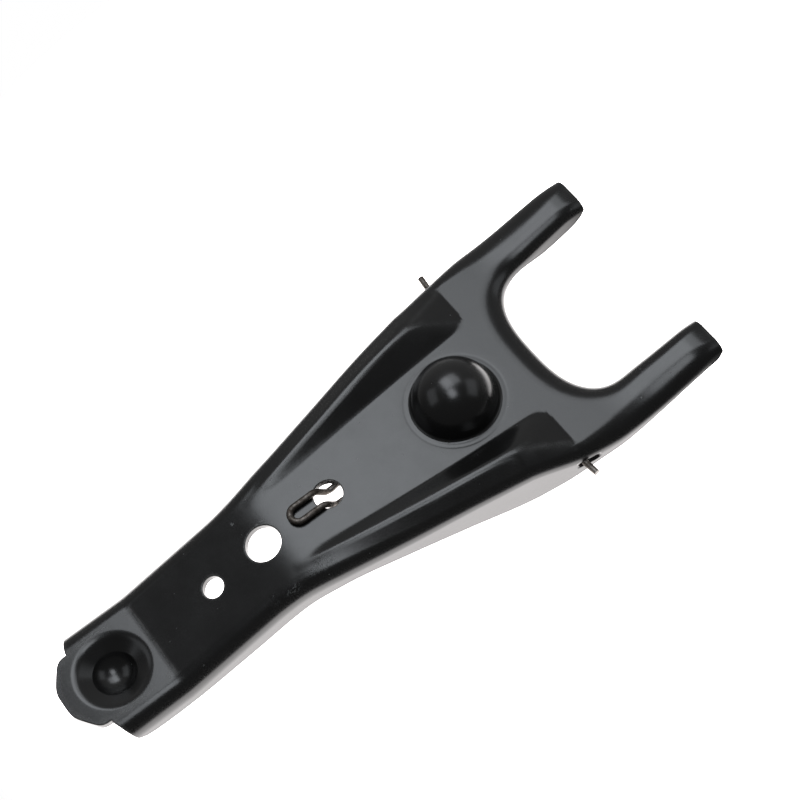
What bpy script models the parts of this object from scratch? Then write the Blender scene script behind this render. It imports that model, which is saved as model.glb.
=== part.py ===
"""Pressed-steel clutch fork with its wire retaining clip, lying on its flange edges.

The stamping is drawn in millimetres in a press frame: x along the fork toward the arms, y across
it, z = 0 on the outer face of the web and x = 0, y = 0 over the ball seat. The last step turns
both pieces to the pose in which the fork rests on a table and writes them in metres.
"""
import math

import bmesh
import bpy
from mathutils import Matrix, Vector
from mathutils.geometry import delaunay_2d_cdt

MM = 0.001

# Ends of the fork and the bend between handle and body
TIP_X = 72.8
BEND_X = -69.0
NOTCH_X = -141.3
HANDLE_SHARES = (0.0, 0.21, 0.336, 0.571, 0.79)
HANDLE_X = [NOTCH_X + share * (BEND_X - NOTCH_X) for share in HANDLE_SHARES]

# Sheet and press radii
SHEET = 3.0
EDGE_R = ((NOTCH_X, 6.5), (HANDLE_X[4], 6.3), (-40.0, 5.6), (2.0, 5.2), (40.0, 4.9), (TIP_X, 4.6))
GAP_R = 4.6
ARC_STEPS = 4

# Plan of the fork
TAB_SIDE = 3.0
TAB_LENGTH = 9.1
TAB_HALF = 13.4
TAB_END_HALF = 5.4
END_SETBACK = 3.1
END_CUTBACK = 2.8
END_REACH = 9.0
HALF_WIDTH = ((NOTCH_X, 20.5), (HANDLE_X[4], 20.4), (-76.0, 20.9), (-60.0, 23.9), (-40.0, 28.1),
              (-10.0, 34.2), (4.0, 36.9), (22.0, 41.0), (34.0, 42.3), (48.0, 42.2), (TIP_X, 41.7))
FLANGE_FOOT = ((NOTCH_X, -18.9), (HANDLE_X[1], -20.0), (HANDLE_X[2], -19.7), (HANDLE_X[3], -17.6),
               (HANDLE_X[4], -15.0), (-68.0, -10.9), (-56.0, -9.6), (-40.0, -10.4), (-20.0, -12.2),
               (2.0, -14.8), (10.0, -13.5), (22.0, -9.4), (30.5, -7.7), (36.5, -7.0), (48.0, -4.5),
               (59.5, -1.8), (66.0, -0.5), (70.5, 0.7), (TIP_X, 2.1))

# Gap between the arms
GAP_BASE_X = 30.0
GAP_HALF = 25.7
GAP_STRAIGHT_X = 47.0
GAP_POWER = 2.65
GAP_FOOT = ((30.0, -7.5), (40.0, -5.2), (47.0, -4.2), (53.0, -4.4), (58.6, -3.5), (64.2, -2.0),
            (67.9, -0.8), (70.5, 0.8), (TIP_X, 2.3))
TIP_CUTBACK = 0.7
TIP_REACH = 6.0
EDGE_LAND = 0.7

# Heights of the web
HANDLE_SLOPE = math.radians(11.5)
RISE_START_X = 32.0
RISE_END_X = 50.0
RISE_SLOPE = 0.19
TIP_CREST_X = 66.8
TIP_FALL = 0.16

# Raised side ribs
RIB_TOE_X = -77.0
RIB_FOOT = ((-77.0, 9.6), (-72.0, 10.8), (-45.0, 14.4), (-10.0, 17.7), (12.0, 19.2), (20.0, 19.8))
RIB_CREST_Y = ((-77.0, 12.2), (-72.0, 13.2), (-40.0, 20.1), (-10.0, 25.9), (2.3, 27.8))
RIB_CREST_Z = ((-77.0, 0.0), (-70.0, 1.1), (-40.0, 2.8), (-10.0, 5.6), (2.3, 5.9))
RIB_END_X = 2.3
RIB_FRONT_X = 19.3
RIB_FRONT_Y = 34.7
SHOULDER_SHARE = ((-72.0, 0.0), (-40.0, 0.4), (-15.0, 0.58), (20.0, 0.58))
RIB_BLEND = 1.3

# Ball seat dome
DOME_R = 14.3
DOME_FILLET = 2.2

# Push-rod cup and the level pad round it
CUP_SETBACK = 8.8
CUP_X = NOTCH_X + CUP_SETBACK
CUP_RIM_R = 10.9
PAD_LAND = 4.2
PAD_X = CUP_X + CUP_RIM_R + PAD_LAND
PAD_Z = (PAD_X - BEND_X) * math.tan(HANDLE_SLOPE)
CUP_SLOPE = math.radians(24)
CUP_BALL_R = 6.4
CUP_LIP_R = 3.2
CUP_LIP_PLACE = 8.6

# Pierced holes: x place and diameter
HOLE_1 = (-73.8, 12.0)
HOLE_2 = (-93.6, 7.2)
CLIP_HOLE = (-49.0, 9.5)

# Retaining clip and its slots
WIRE_D = 1.6
CLEARANCE = 0.3
LEG_HALF = 2.7
LOOP_X = -59.9
JOG_START_X = -52.8
JOG_END_X = -47.6
NECK_SPREAD = ((-44.0, 3.0), (-12.0, 10.2), (0.0, 11.1), (8.0, 11.7))
WIRE_WALL = (18.7, 40.4)
WIRE_OUT_Z = -5.3
WIRE_END_HALF = 45.4
WIRE_SPLAY = math.radians(6.0)
WIRE_BEND_R = 5.0
SLOT_X = 20.1
SLOT_LENGTH = 7.6
SLOT_HEIGHT = 2.2

# Facet counts
STATION_STEP = 5.4
GRID_STEP = 7.0
AXIS_STEP = 10.0
WALL_SHARES = (0.65, 1.0)
TIP_STEPS = (4.0, 2.4, 1.0, 0.0)
DOME_SEGMENTS = 20
CUP_SEGMENTS = 14
CREASE_HALF = 1.05


def along(stations, x):
    """Value at x of a monotone cubic through the stations."""
    if x <= stations[0][0]:
        return stations[0][1]
    if x >= stations[-1][0]:
        return stations[-1][1]
    slopes = [(b[1] - a[1]) / (b[0] - a[0]) for a, b in zip(stations, stations[1:])]
    tangents = [slopes[0]]
    for before, after in zip(slopes, slopes[1:]):
        same_way = before * after > 0
        tangents.append(2 * before * after / (before + after) if same_way else 0.0)
    tangents.append(slopes[-1])
    for i, (a, b) in enumerate(zip(stations, stations[1:])):
        if x <= b[0]:
            width = b[0] - a[0]
            t = (x - a[0]) / width
            start = (1 + 2 * t) * (1 - t) ** 2 * a[1] + t * (1 - t) ** 2 * width * tangents[i]
            end = t * t * (3 - 2 * t) * b[1] - t * t * (1 - t) * width * tangents[i + 1]
            return start + end
    return stations[-1][1]


def soft_min(a, b, blend):
    """Smaller of two heights, rounded where they cross."""
    if blend <= 0:
        return min(a, b)
    overlap = max(blend - abs(a - b), 0.0) / blend
    return min(a, b) - overlap * overlap * blend / 4


def soft_max(a, b, blend):
    """Larger of two heights, rounded where they cross."""
    return -soft_min(-a, -b, blend)


def web_height(x):
    """Height of the plain web: level, bent down along the handle, bent up along the arms."""
    handle = soft_max((x - BEND_X) * math.tan(HANDLE_SLOPE), PAD_Z, 0.3)
    if x < RISE_START_X:
        return soft_min(0.0, handle, 1.4)
    if x < RISE_END_X:
        return RISE_SLOPE * (x - RISE_START_X) ** 2 / (2 * (RISE_END_X - RISE_START_X))
    middle = (RISE_START_X + RISE_END_X) / 2
    rise = RISE_SLOPE * (x - middle)
    fall = RISE_SLOPE * (TIP_CREST_X - middle) - TIP_FALL * (x - TIP_CREST_X)
    return soft_min(rise, fall, 0.5)


def front_cap(x):
    """Height of the sloping front facet of a rib."""
    return max(RIB_FRONT_X - x, 0.0) * along(RIB_CREST_Z, RIB_END_X) / (RIB_FRONT_X - RIB_END_X)


def crest(x):
    """Plan offset and height of the outer edge of a rib's top."""
    if x <= RIB_END_X:
        return along(RIB_CREST_Y, x), along(RIB_CREST_Z, x)
    share = min((x - RIB_END_X) / (RIB_FRONT_X - RIB_END_X), 1.0)
    y_end = along(RIB_CREST_Y, RIB_END_X)
    return y_end + share * (RIB_FRONT_Y - y_end), front_cap(x)


def shoulder(x):
    """Bend into the outer flange at x: radius, arc centre (y, z) above the web, start angle."""
    y_crest, z_crest = crest(x)
    radius = along(EDGE_R, x)
    centre_y = along(HALF_WIDTH, x) - radius
    centre_z = along(SHOULDER_SHARE, x) * z_crest - radius
    if x <= RIB_TOE_X or x >= RIB_FRONT_X:
        return radius, centre_y, centre_z, 0.0
    dy, dz = y_crest - centre_y, z_crest - centre_z
    reach = math.hypot(dy, dz)
    start = math.acos(min(radius / reach, 1.0)) - math.atan2(-dy, dz)
    return radius, centre_y, centre_z, max(start, 0.0)


def crown(x):
    """Where the outer bend starts: offset y, height above the web and start angle."""
    radius, centre_y, centre_z, start = shoulder(x)
    return centre_y + radius * math.sin(start), centre_z + radius * math.cos(start), start


def bend_end(height, radius, foot):
    """Angle where a flange's bend ends: square to the web, or sooner where its edge is near."""
    return math.acos(max(0.0, 1 - (height - foot - EDGE_LAND) / radius))


def rib_height(x, y):
    """Height of a side rib above the web."""
    if x <= RIB_TOE_X or x >= RIB_FRONT_X:
        return 0.0
    y_crest, z_crest = crest(x)
    foot = along(RIB_FOOT, x)
    if x <= RIB_END_X:
        rise = z_crest / (y_crest - foot)
    else:
        rise = along(RIB_CREST_Z, RIB_END_X) / (along(RIB_CREST_Y, RIB_END_X) - along(RIB_FOOT, RIB_END_X))
    y_crown, z_crown, start = crown(x)
    blend = min(RIB_BLEND, 0.5 * z_crest)
    inner = (y - foot) * rise
    if x > RIB_END_X - 4:
        inner = soft_min(inner, front_cap(x), blend)
    outer = z_crown + (y_crown - y) * math.tan(start)
    if y > y_crest:
        return soft_min(inner, outer, blend)
    return soft_min(soft_max(inner, 0.0, min(RIB_BLEND, z_crest)), max(outer, 0.0), blend)


def dome_profile():
    """Radius and height of the dome's rings, from the top to the web."""
    centre_r = math.sqrt((DOME_R + DOME_FILLET) ** 2 - DOME_FILLET ** 2)
    last = math.atan2(centre_r, DOME_FILLET)
    rings = []
    for i in range(1, 9):
        angle = last * (1 - (1 - i / 8) ** 1.25)
        rings.append((DOME_R * math.sin(angle), DOME_R * math.cos(angle)))
    for i in range(1, 4):
        angle = last * (1 - i / 3)
        rings.append((centre_r - DOME_FILLET * math.sin(angle),
                      DOME_FILLET - DOME_FILLET * math.cos(angle)))
    return rings


def cup_profile():
    """Radius and depth of the cup's rings, from the middle over the lip and up the dish."""
    foot_r = CUP_LIP_PLACE - CUP_LIP_R * math.sin(CUP_SLOPE)
    lip_z = -(CUP_RIM_R - foot_r) * math.tan(CUP_SLOPE) - CUP_LIP_R * math.cos(CUP_SLOPE)
    mouth = math.asin(CUP_LIP_PLACE / (CUP_BALL_R + CUP_LIP_R))
    centre_z = lip_z + (CUP_BALL_R + CUP_LIP_R) * math.cos(mouth)
    rings = []
    for i in range(1, 6):
        angle = mouth * i / 5
        rings.append((CUP_BALL_R * math.sin(angle), centre_z - CUP_BALL_R * math.cos(angle)))
    for angle in (mouth, (mouth + CUP_SLOPE) / 2, CUP_SLOPE):
        rings.append((CUP_LIP_PLACE - CUP_LIP_R * math.sin(angle), lip_z + CUP_LIP_R * math.cos(angle)))
    rings.pop(5)
    rings.append((CUP_RIM_R, 0.0))
    return rings


def from_profile(rings, radius, middle):
    """Height at a radius on a turned form, given its height in the middle."""
    before = (0.0, middle)
    for ring in rings:
        if radius <= ring[0] + 1e-6:
            share = (radius - before[0]) / (ring[0] - before[0])
            return before[1] + share * (ring[1] - before[1])
        before = ring
    return 0.0


def surface(x, y):
    """Height of the outer face of the pressed web in the press frame."""
    height = web_height(x) + rib_height(x, y)
    height += from_profile(DOME, math.hypot(x, y), DOME_R)
    return height + from_profile(CUP, math.hypot(x - CUP_X, y), CUP_FLOOR)


def spread(start, end, step):
    """Evenly spaced values from start to end, about a step apart."""
    count = max(round(abs(end - start) / step), 1)
    return [start + (end - start) * i / count for i in range(count + 1)]


def to_tip(start):
    """Stations from a place to the arm's tip, closer where its corners turn."""
    return spread(start, TIP_X - TIP_REACH, STATION_STEP) + [TIP_X - step for step in TIP_STEPS]


def outward(line, i):
    """Unit normal in plan to the left of a line at one of its points."""
    a = Vector(line[max(i - 1, 0)])
    b = Vector(line[min(i + 1, len(line) - 1)])
    step = (b - a).normalized()
    return Vector((-step.y, step.x))


def flange_points(centre, normal, level, radius, start, foot):
    """Points over a bend from its start angle and on down the flange to its edge."""
    end = bend_end(level + radius, radius, foot)
    points = []
    for j in range(ARC_STEPS + 1):
        angle = start + (end - start) * j / ARC_STEPS
        plan = centre + normal * radius * math.sin(angle)
        points.append(Vector((plan.x, plan.y, level + radius * math.cos(angle))))
    wall = (points[-1].z - foot) / math.sin(end)
    for share in WALL_SHARES:
        plan = centre + normal * (radius * math.sin(end) + wall * share * math.cos(end))
        points.append(Vector((plan.x, plan.y, points[ARC_STEPS].z - wall * share * math.sin(end))))
    return points


def outer_rows():
    """Rows of points from the outer crown over the bend and down the outer flange."""
    xs = spread(NOTCH_X, RIB_FRONT_X, STATION_STEP) + to_tip(RIB_FRONT_X)[1:]
    wall = [(x, along(HALF_WIDTH, x)) for x in xs]
    rows = [[] for _ in range(ARC_STEPS + 1 + len(WALL_SHARES))]
    for i, x in enumerate(xs):
        radius, centre_y, centre_z, start = shoulder(x)
        normal = outward(wall, i) if x < TIP_X else Vector((0.0, 1.0))
        centre = Vector((x, centre_y + radius)) - normal * radius
        level = web_height(x) + centre_z
        end_share = max(0.0, 1 - (x - NOTCH_X) / END_REACH)
        tip_share = max(0.0, 1 - (TIP_X - x) / TIP_REACH)
        points = flange_points(centre, normal, level, radius, start, along(FLANGE_FOOT, x))
        for j, point in enumerate(points):
            down = min(j / ARC_STEPS, 1.0)
            below = max(j - ARC_STEPS, 0) / len(WALL_SHARES)
            point.x += end_share * (END_SETBACK * down + END_CUTBACK * below ** 2)
            point.x -= tip_share * TIP_CUTBACK * down ** 2
            if x == NOTCH_X and j == 0:
                point.x = NOTCH_X
            rows[j].append(point)
    return rows


def gap_plan():
    """Plan line of the gap's wall, from an arm tip to the middle of its base."""
    straight = [(x, GAP_HALF) for x in reversed(to_tip(GAP_STRAIGHT_X))]
    depth = GAP_STRAIGHT_X - GAP_BASE_X
    turns = 13
    corner = []
    for i in range(1, turns + 1):
        angle = math.pi / 2 * (i / turns)
        across = abs(math.cos(angle)) ** (2 / GAP_POWER)
        back = abs(math.sin(angle)) ** (2 / GAP_POWER)
        corner.append((GAP_STRAIGHT_X - depth * back, GAP_HALF * across if i < turns else 0.0))
    return straight + corner


def gap_rows():
    """Rows of points from the gap's crown over the bend and down the inner flange."""
    wall = gap_plan()
    rows = [[] for _ in range(ARC_STEPS + 1 + len(WALL_SHARES))]
    for i, place in enumerate(wall):
        normal = outward(wall, i)
        if place[1] == 0.0:
            normal = Vector((1.0, 0.0))
        centre = Vector(place) - normal * GAP_R
        level = web_height(centre.x) - GAP_R
        tip_share = max(0.0, 1 - (TIP_X - place[0]) / TIP_REACH)
        points = flange_points(centre, normal, level, GAP_R, 0.0, along(GAP_FOOT, place[0]))
        for j, point in enumerate(points):
            point.x -= tip_share * TIP_CUTBACK * min(j / ARC_STEPS, 1.0) ** 2
            rows[j].append(point)
    return rows


def tab_plan():
    """Plan line of the handle tab, from the notch round to the axis."""
    side_x, end_x = NOTCH_X - TAB_SIDE, NOTCH_X - TAB_LENGTH
    return [(NOTCH_X, TAB_HALF), (side_x, TAB_HALF), (side_x - 1.7, TAB_HALF - 1.9),
            (end_x + 0.7, TAB_END_HALF), (end_x, TAB_END_HALF - 2.4), (end_x, 0.0)]


def half_ring(x, radius, segments, stretch=1.0):
    """Half circle of plan points round a place on the axis."""
    ring = []
    for i in range(segments + 1):
        angle = math.pi * i / segments
        y = 0.0 if i in (0, segments) else radius * math.sin(angle)
        ring.append((x + stretch * radius * math.cos(angle), y))
    return ring


def hole_ring(hole):
    """Half outline of a pierced hole, stretched where the web slopes."""
    slope = math.cos(HANDLE_SLOPE) if hole[0] < BEND_X - 10 else 1.0
    return half_ring(hole[0], hole[1] / 2, 10, slope)


def inside(polygon, x, y):
    """Whether a plan point lies inside a closed polygon."""
    hit = False
    for (ax, ay), (bx, by) in zip(polygon, polygon[1:] + polygon[:1]):
        if (ay > y) != (by > y) and x < ax + (y - ay) * (bx - ax) / (by - ay):
            hit = not hit
    return hit


def rib_lines():
    """Plan lines along a rib that the facets follow, a pair on each side of every crease."""
    lines = []
    xs = spread(RIB_TOE_X + 3, RIB_END_X, STATION_STEP)
    front = spread(RIB_END_X + 2, RIB_FRONT_X - 2.4, 3.4)
    mouth = along(RIB_FOOT, RIB_END_X)
    rise = along(RIB_CREST_Z, RIB_END_X) / (along(RIB_CREST_Y, RIB_END_X) - mouth)
    for side in (-CREASE_HALF, CREASE_HALF):
        lines.append([(x, along(RIB_FOOT, x) + side) for x in xs + front])
        lines.append([(x, crest(x)[0] + side) for x in xs + front[1:]
                      if crest(x)[0] + side < crown(x)[0] - 0.8])
        lines.append([(x, along(RIB_FOOT, x) + front_cap(x) / rise + side) for x in front[1:]])
        lines.append([(RIB_FRONT_X + side, y) for y in spread(20.5, crown(RIB_FRONT_X)[0] - 1.2, 3.2)])
    return [line for line in lines if len(line) > 1]


def cross_lines():
    """Plan lines across the web where it bends."""
    lines = []
    for x in (PAD_X - 1.2, PAD_X, PAD_X + 1.2, BEND_X - 6, BEND_X - 2, BEND_X + 2, BEND_X + 6):
        reach = along(RIB_FOOT, x) - 1.2 if x > RIB_TOE_X else crown(x)[0] - 1.2
        start = HOLE_1[1] / 2 + 1.2 if abs(x - HOLE_1[0]) < HOLE_1[1] / 2 + 0.4 else 0.8
        lines.append([(x, y) for y in spread(start, reach, 4.0)])
    for x in (TIP_CREST_X - 2, TIP_CREST_X + 2):
        lines.append([(x, y) for y in spread(GAP_HALF + GAP_R + 1, crown(x)[0] - 1, 2.5)])
    return lines


def web_mesh(outer_edge, gap_edge):
    """Facets of one half of the pressed web, inside the lines where the bends start."""
    dome_rings = [half_ring(0.0, ring[0], DOME_SEGMENTS) for ring in DOME]
    cup_rings = [half_ring(CUP_X, ring[0], CUP_SEGMENTS) for ring in CUP]
    holes = [hole_ring(hole) for hole in (HOLE_1, HOLE_2, CLIP_HOLE)]
    axis_x = {NOTCH_X - TAB_LENGTH, GAP_BASE_X - GAP_R, 0.0, CUP_X, PAD_X}
    for ring in dome_rings + cup_rings + holes:
        axis_x.update((ring[0][0], ring[-1][0]))
    ends = sorted(axis_x)
    for a, b in zip(ends, ends[1:]):
        axis_x.update(spread(a, b, AXIS_STEP))
    border = [(p.x, p.y) for p in outer_edge]
    border += [(TIP_X, y) for y in spread(border[-1][1], gap_edge[0].y, 3.0)[1:-1]]
    border += [(p.x, p.y) for p in gap_edge][:-1]
    axis = [(x, 0.0) for x in sorted(axis_x, reverse=True)]
    border += axis
    border += list(reversed(tab_plan()))[1:-1]
    points, edges = [], []

    def add(line, closed=False):
        first = len(points)
        points.extend(Vector(p) for p in line)
        edges.extend((first + i, first + i + 1) for i in range(len(line) - 1))
        if closed:
            edges.append((first + len(line) - 1, first))

    add(border, closed=True)
    for line in dome_rings + cup_rings + holes + rib_lines() + cross_lines():
        add(line)
    widest = max(half for _, half in HALF_WIDTH)
    for x in spread(NOTCH_X - TAB_LENGTH + GRID_STEP / 2, TIP_X - GRID_STEP / 2, GRID_STEP):
        for y in spread(GRID_STEP / 2, widest - GRID_STEP / 2, GRID_STEP):
            clear = inside(border, x, y) and y < crown(x)[0] - 3.0
            clear = clear and math.hypot(x, y) > DOME[-1][0] + 3
            clear = clear and math.hypot(x - CUP_X, y) > CUP_RIM_R + 2
            clear = clear and all(math.hypot(x - h[0], y) > h[1] / 2 + 2.5 for h in (HOLE_1, HOLE_2, CLIP_HOLE))
            if RIB_TOE_X < x < RIB_FRONT_X + 4:
                clear = clear and y < along(RIB_FOOT, x) - 3.0
            if x > GAP_BASE_X - 12:
                clear = clear and min(math.dist((x, y), (p.x, p.y)) for p in gap_edge) > 3.0
            if clear:
                points.append(Vector((x, y)))
    verts, _, faces, _, _, _ = delaunay_2d_cdt(points, edges, [], 0, 1e-4)
    kept = []
    for face in faces:
        x = sum(verts[i].x for i in face) / len(face)
        y = sum(verts[i].y for i in face) / len(face)
        if inside(border, x, y) and not any(inside(hole, x, y) for hole in holes):
            kept.append(face)
    return verts, kept


def rest_height(vert, table):
    """Height from the edge rows where they define it, or from the web surface."""
    key = (round(vert.x, 3), round(vert.y, 3))
    return table[key] if key in table else surface(vert.x, vert.y)


def extrude_rows(bm, rows):
    """Extrudes the free edges along the first row through the other rows."""
    row = [find_vert(bm, p) for p in rows[0]]
    for target in rows[1:]:
        edges = [bm.edges.get((a, b)) for a, b in zip(row, row[1:])]
        made = bmesh.ops.extrude_edge_only(bm, edges=edges)["geom"]
        fresh = [v for v in made if isinstance(v, bmesh.types.BMVert)]
        matched = []
        for vert, place in zip(row, target):
            twin = min(fresh, key=lambda v: (v.co - vert.co).length_squared)
            fresh.remove(twin)
            matched.append((twin, place))
        for twin, place in matched:
            twin.co = place * MM
        row = [twin for twin, _ in matched]


def find_vert(bm, place):
    """Vertex of the mesh nearest to a place given in millimetres."""
    target = place * MM
    return min(bm.verts, key=lambda v: (v.co - target).length_squared)


def link(bm, collection, name):
    """New object in a collection from a bmesh."""
    mesh = bpy.data.meshes.new(name)
    bm.to_mesh(mesh)
    bm.free()
    made = bpy.data.objects.new(name, mesh)
    collection.objects.link(made)
    return made


def apply_modifiers(target):
    """Replaces an object's mesh by its evaluated mesh."""
    graph = bpy.context.evaluated_depsgraph_get()
    mesh = bpy.data.meshes.new_from_object(target.evaluated_get(graph))
    target.modifiers.clear()
    target.data = mesh


def slot_cutter(collection):
    """Flat bar with round ends that pierces both flanges."""
    outline = bpy.data.curves.new("slot_outline", "CURVE")
    outline.dimensions = "2D"
    outline.fill_mode = "BOTH"
    outline.extrude = (along(HALF_WIDTH, SLOT_X) + 6) * MM
    outline.use_fill_caps = True
    spline = outline.splines.new("POLY")
    radius = SLOT_HEIGHT / 2
    corners = []
    for side in (1, -1):
        middle = SLOT_X + side * (SLOT_LENGTH / 2 - radius)
        for i in range(7):
            angle = math.pi * i / 6 - side * math.pi / 2
            corners.append((middle + radius * math.cos(angle), radius * math.sin(angle)))
    spline.points.add(len(corners) - 1)
    for point, (x, z) in zip(spline.points, corners):
        point.co = (x * MM, z * MM, 0.0, 1.0)
    spline.use_cyclic_u = True
    holder = bpy.data.objects.new("slot_outline", outline)
    holder.matrix_world = Matrix.Translation((0, 0, WIRE_OUT_Z * MM)) @ Matrix.Rotation(math.pi / 2, 4, "X")
    collection.objects.link(holder)
    bpy.context.view_layer.update()
    graph = bpy.context.evaluated_depsgraph_get()
    mesh = bpy.data.meshes.new_from_object(holder.evaluated_get(graph))
    mesh.transform(holder.matrix_world)
    bpy.data.objects.remove(holder)
    bm = bmesh.new()
    bm.from_mesh(mesh)
    bmesh.ops.remove_doubles(bm, verts=bm.verts, dist=1e-6)
    bmesh.ops.recalc_face_normals(bm, faces=bm.faces)
    cutter = link(bm, collection, "slot_cutter")
    cutter.hide_render = True
    cutter.display_type = "WIRE"
    return cutter


def build_stamping(collection, cutters):
    """The pressed fork: half shell, mirrored, thickened inward and slotted."""
    outer, gap = outer_rows(), gap_rows()
    table = {(round(p.x, 3), round(p.y, 3)): p.z for p in outer[0] + gap[0]}
    verts, faces = web_mesh(outer[0], gap[0])
    bm = bmesh.new()
    made = [bm.verts.new((v.x * MM, v.y * MM, rest_height(v, table) * MM)) for v in verts]
    for face in faces:
        bm.faces.new([made[i] for i in face])
    bmesh.ops.delete(bm, geom=[v for v in bm.verts if not v.link_faces], context="VERTS")
    extrude_rows(bm, outer)
    extrude_rows(bm, gap)
    bmesh.ops.recalc_face_normals(bm, faces=bm.faces)
    top = max(bm.faces, key=lambda f: f.calc_center_median().z)
    if top.normal.z < 0:
        bmesh.ops.reverse_faces(bm, faces=bm.faces)
    fork = link(bm, collection, "fork_body")
    mirror = fork.modifiers.new("Mirror", "MIRROR")
    mirror.use_axis = (False, True, False)
    mirror.use_clip = True
    mirror.merge_threshold = 0.00001
    solid = fork.modifiers.new("Solidify", "SOLIDIFY")
    solid.thickness = SHEET * MM
    solid.offset = -1.0
    solid.use_even_offset = True
    solid.use_quality_normals = True
    cut = fork.modifiers.new("Slots", "BOOLEAN")
    cut.operation = "DIFFERENCE"
    cut.solver = "EXACT"
    cut.object = slot_cutter(cutters)
    apply_modifiers(fork)
    return fork


def out_x(y):
    """Place along the fork of the straight ends that pass through the slots."""
    return WIRE_WALL[0] + (y - WIRE_WALL[1]) * math.tan(WIRE_SPLAY)


def clip_route():
    """Control points of half the clip, from the loop's end to the wire's end."""
    top = WIRE_D / 2 + CLEARANCE
    under = -SHEET - CLEARANCE - WIRE_D / 2
    route = []
    for i in range(7):
        angle = math.pi / 2 * i / 6
        route.append((LOOP_X - LEG_HALF * math.cos(angle), LEG_HALF * math.sin(angle), top))
    route += [(x, LEG_HALF, top) for x in (LOOP_X + 2.6, JOG_START_X - 1.2)]
    for i in range(7):
        share = i / 6
        height = top + (under - top) * share * share * (3 - 2 * share)
        route.append((JOG_START_X + (JOG_END_X - JOG_START_X) * share, LEG_HALF, height))
    route.append((JOG_END_X + 2.6, LEG_HALF + 0.2, under))
    route += [(x, along(NECK_SPREAD, x), under) for x in (-38.0, -30.0, -21.0, -12.0, -4.0, 4.0, 8.0)]
    bend_y = NECK_SPREAD[-1][1] + 0.6 + WIRE_BEND_R
    bend_x = out_x(bend_y) - WIRE_BEND_R
    for i in range(6):
        angle = math.pi / 2 * i / 5
        height = under + (WIRE_OUT_Z - under) * (i / 5)
        route.append((bend_x + WIRE_BEND_R * math.sin(angle), bend_y - WIRE_BEND_R * math.cos(angle), height))
    route += [(out_x(y), y, WIRE_OUT_Z) for y in (22.0, 28.0, 34.0, 40.0, WIRE_END_HALF)]
    return [Vector(p) for p in route]


def smooth_line(points, step):
    """Points about a step apart on a Catmull-Rom curve through the given ones."""
    line = [points[0]]
    for i in range(len(points) - 1):
        a = points[max(i - 1, 0)]
        b, c = points[i], points[i + 1]
        d = points[min(i + 2, len(points) - 1)]
        count = max(round((c - b).length / step), 1)
        for k in range(1, count + 1):
            t = k / count
            line.append(0.5 * (2 * b + (c - a) * t + (2 * a - 5 * b + 4 * c - d) * t * t
                               + (3 * b - a - 3 * c + d) * t ** 3))
    return line


def build_clip(collection):
    """The bent wire clip, one round wire with its loop over the web."""
    half = smooth_line(clip_route(), 2.2)
    other = [Vector((p.x, -p.y, p.z)) for p in reversed(half)]
    line = other[:-1] + half
    curve = bpy.data.curves.new("clip_route", "CURVE")
    curve.dimensions = "3D"
    curve.bevel_depth = WIRE_D / 2 * MM
    curve.bevel_resolution = 2
    curve.use_fill_caps = True
    spline = curve.splines.new("POLY")
    spline.points.add(len(line) - 1)
    for point, place in zip(spline.points, line):
        point.co = (place.x * MM, place.y * MM, place.z * MM, 1.0)
    holder = bpy.data.objects.new("clip_route", curve)
    collection.objects.link(holder)
    bpy.context.view_layer.update()
    graph = bpy.context.evaluated_depsgraph_get()
    mesh = bpy.data.meshes.new_from_object(holder.evaluated_get(graph))
    bpy.data.objects.remove(holder)
    bm = bmesh.new()
    bm.from_mesh(mesh)
    bmesh.ops.remove_doubles(bm, verts=bm.verts, dist=1e-6)
    bmesh.ops.recalc_face_normals(bm, faces=bm.faces)
    return link(bm, collection, "retaining_clip")


def rest_matrix(fork):
    """Turn and shift that lay the fork on z = 0 with its box centred on the z axis."""
    places = [v.co.copy() for v in fork.data.vertices]
    pitch = 0.0
    for _ in range(6):
        turned = [Matrix.Rotation(pitch, 4, "Y") @ p for p in places]
        rear = min((p for p in turned if p.x < -60 * MM), key=lambda p: p.z)
        front = min((p for p in turned if p.x > -60 * MM), key=lambda p: p.z)
        pitch += math.atan2(front.z - rear.z, front.x - rear.x)
    turned = [Matrix.Rotation(pitch, 4, "Y") @ p for p in places]
    middle = (min(p.x for p in turned) + max(p.x for p in turned)) / 2
    low = min(p.z for p in turned)
    return Matrix.Translation((-middle, 0.0, -low)) @ Matrix.Rotation(pitch, 4, "Y")


def finish(target, name, colour, roughness, metallic):
    """Material and smooth shading for a finished piece."""
    material = bpy.data.materials.new(name)
    material.use_nodes = True
    shader = material.node_tree.nodes["Principled BSDF"]
    shader.inputs["Base Color"].default_value = (*colour, 1.0)
    shader.inputs["Roughness"].default_value = roughness
    shader.inputs["Metallic"].default_value = metallic
    target.data.materials.clear()
    target.data.materials.append(material)
    target.data.shade_smooth()
    target.data.set_sharp_from_angle(angle=math.radians(38))


DOME = dome_profile()
CUP = cup_profile()
CUP_FLOOR = CUP[0][1] - CUP_BALL_R * (1 - math.cos(math.asin(CUP[0][0] / CUP_BALL_R)))


def main():
    """Builds both pieces and lays them at rest."""
    for old in list(bpy.data.objects):
        bpy.data.objects.remove(old)
    collection = bpy.data.collections.new("clutch_fork")
    cutters = bpy.data.collections.new("cutters")
    cutters.hide_render = True
    bpy.context.scene.collection.children.link(collection)
    bpy.context.scene.collection.children.link(cutters)
    fork = build_stamping(collection, cutters)
    clip = build_clip(collection)
    rest = rest_matrix(fork)
    for piece in (fork, clip):
        piece.data.transform(rest)
    finish(fork, "black_paint", (0.018, 0.019, 0.020), 0.32, 0.0)
    finish(clip, "spring_wire", (0.16, 0.15, 0.13), 0.42, 0.9)


if __name__ == "__main__":
    main()
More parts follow.
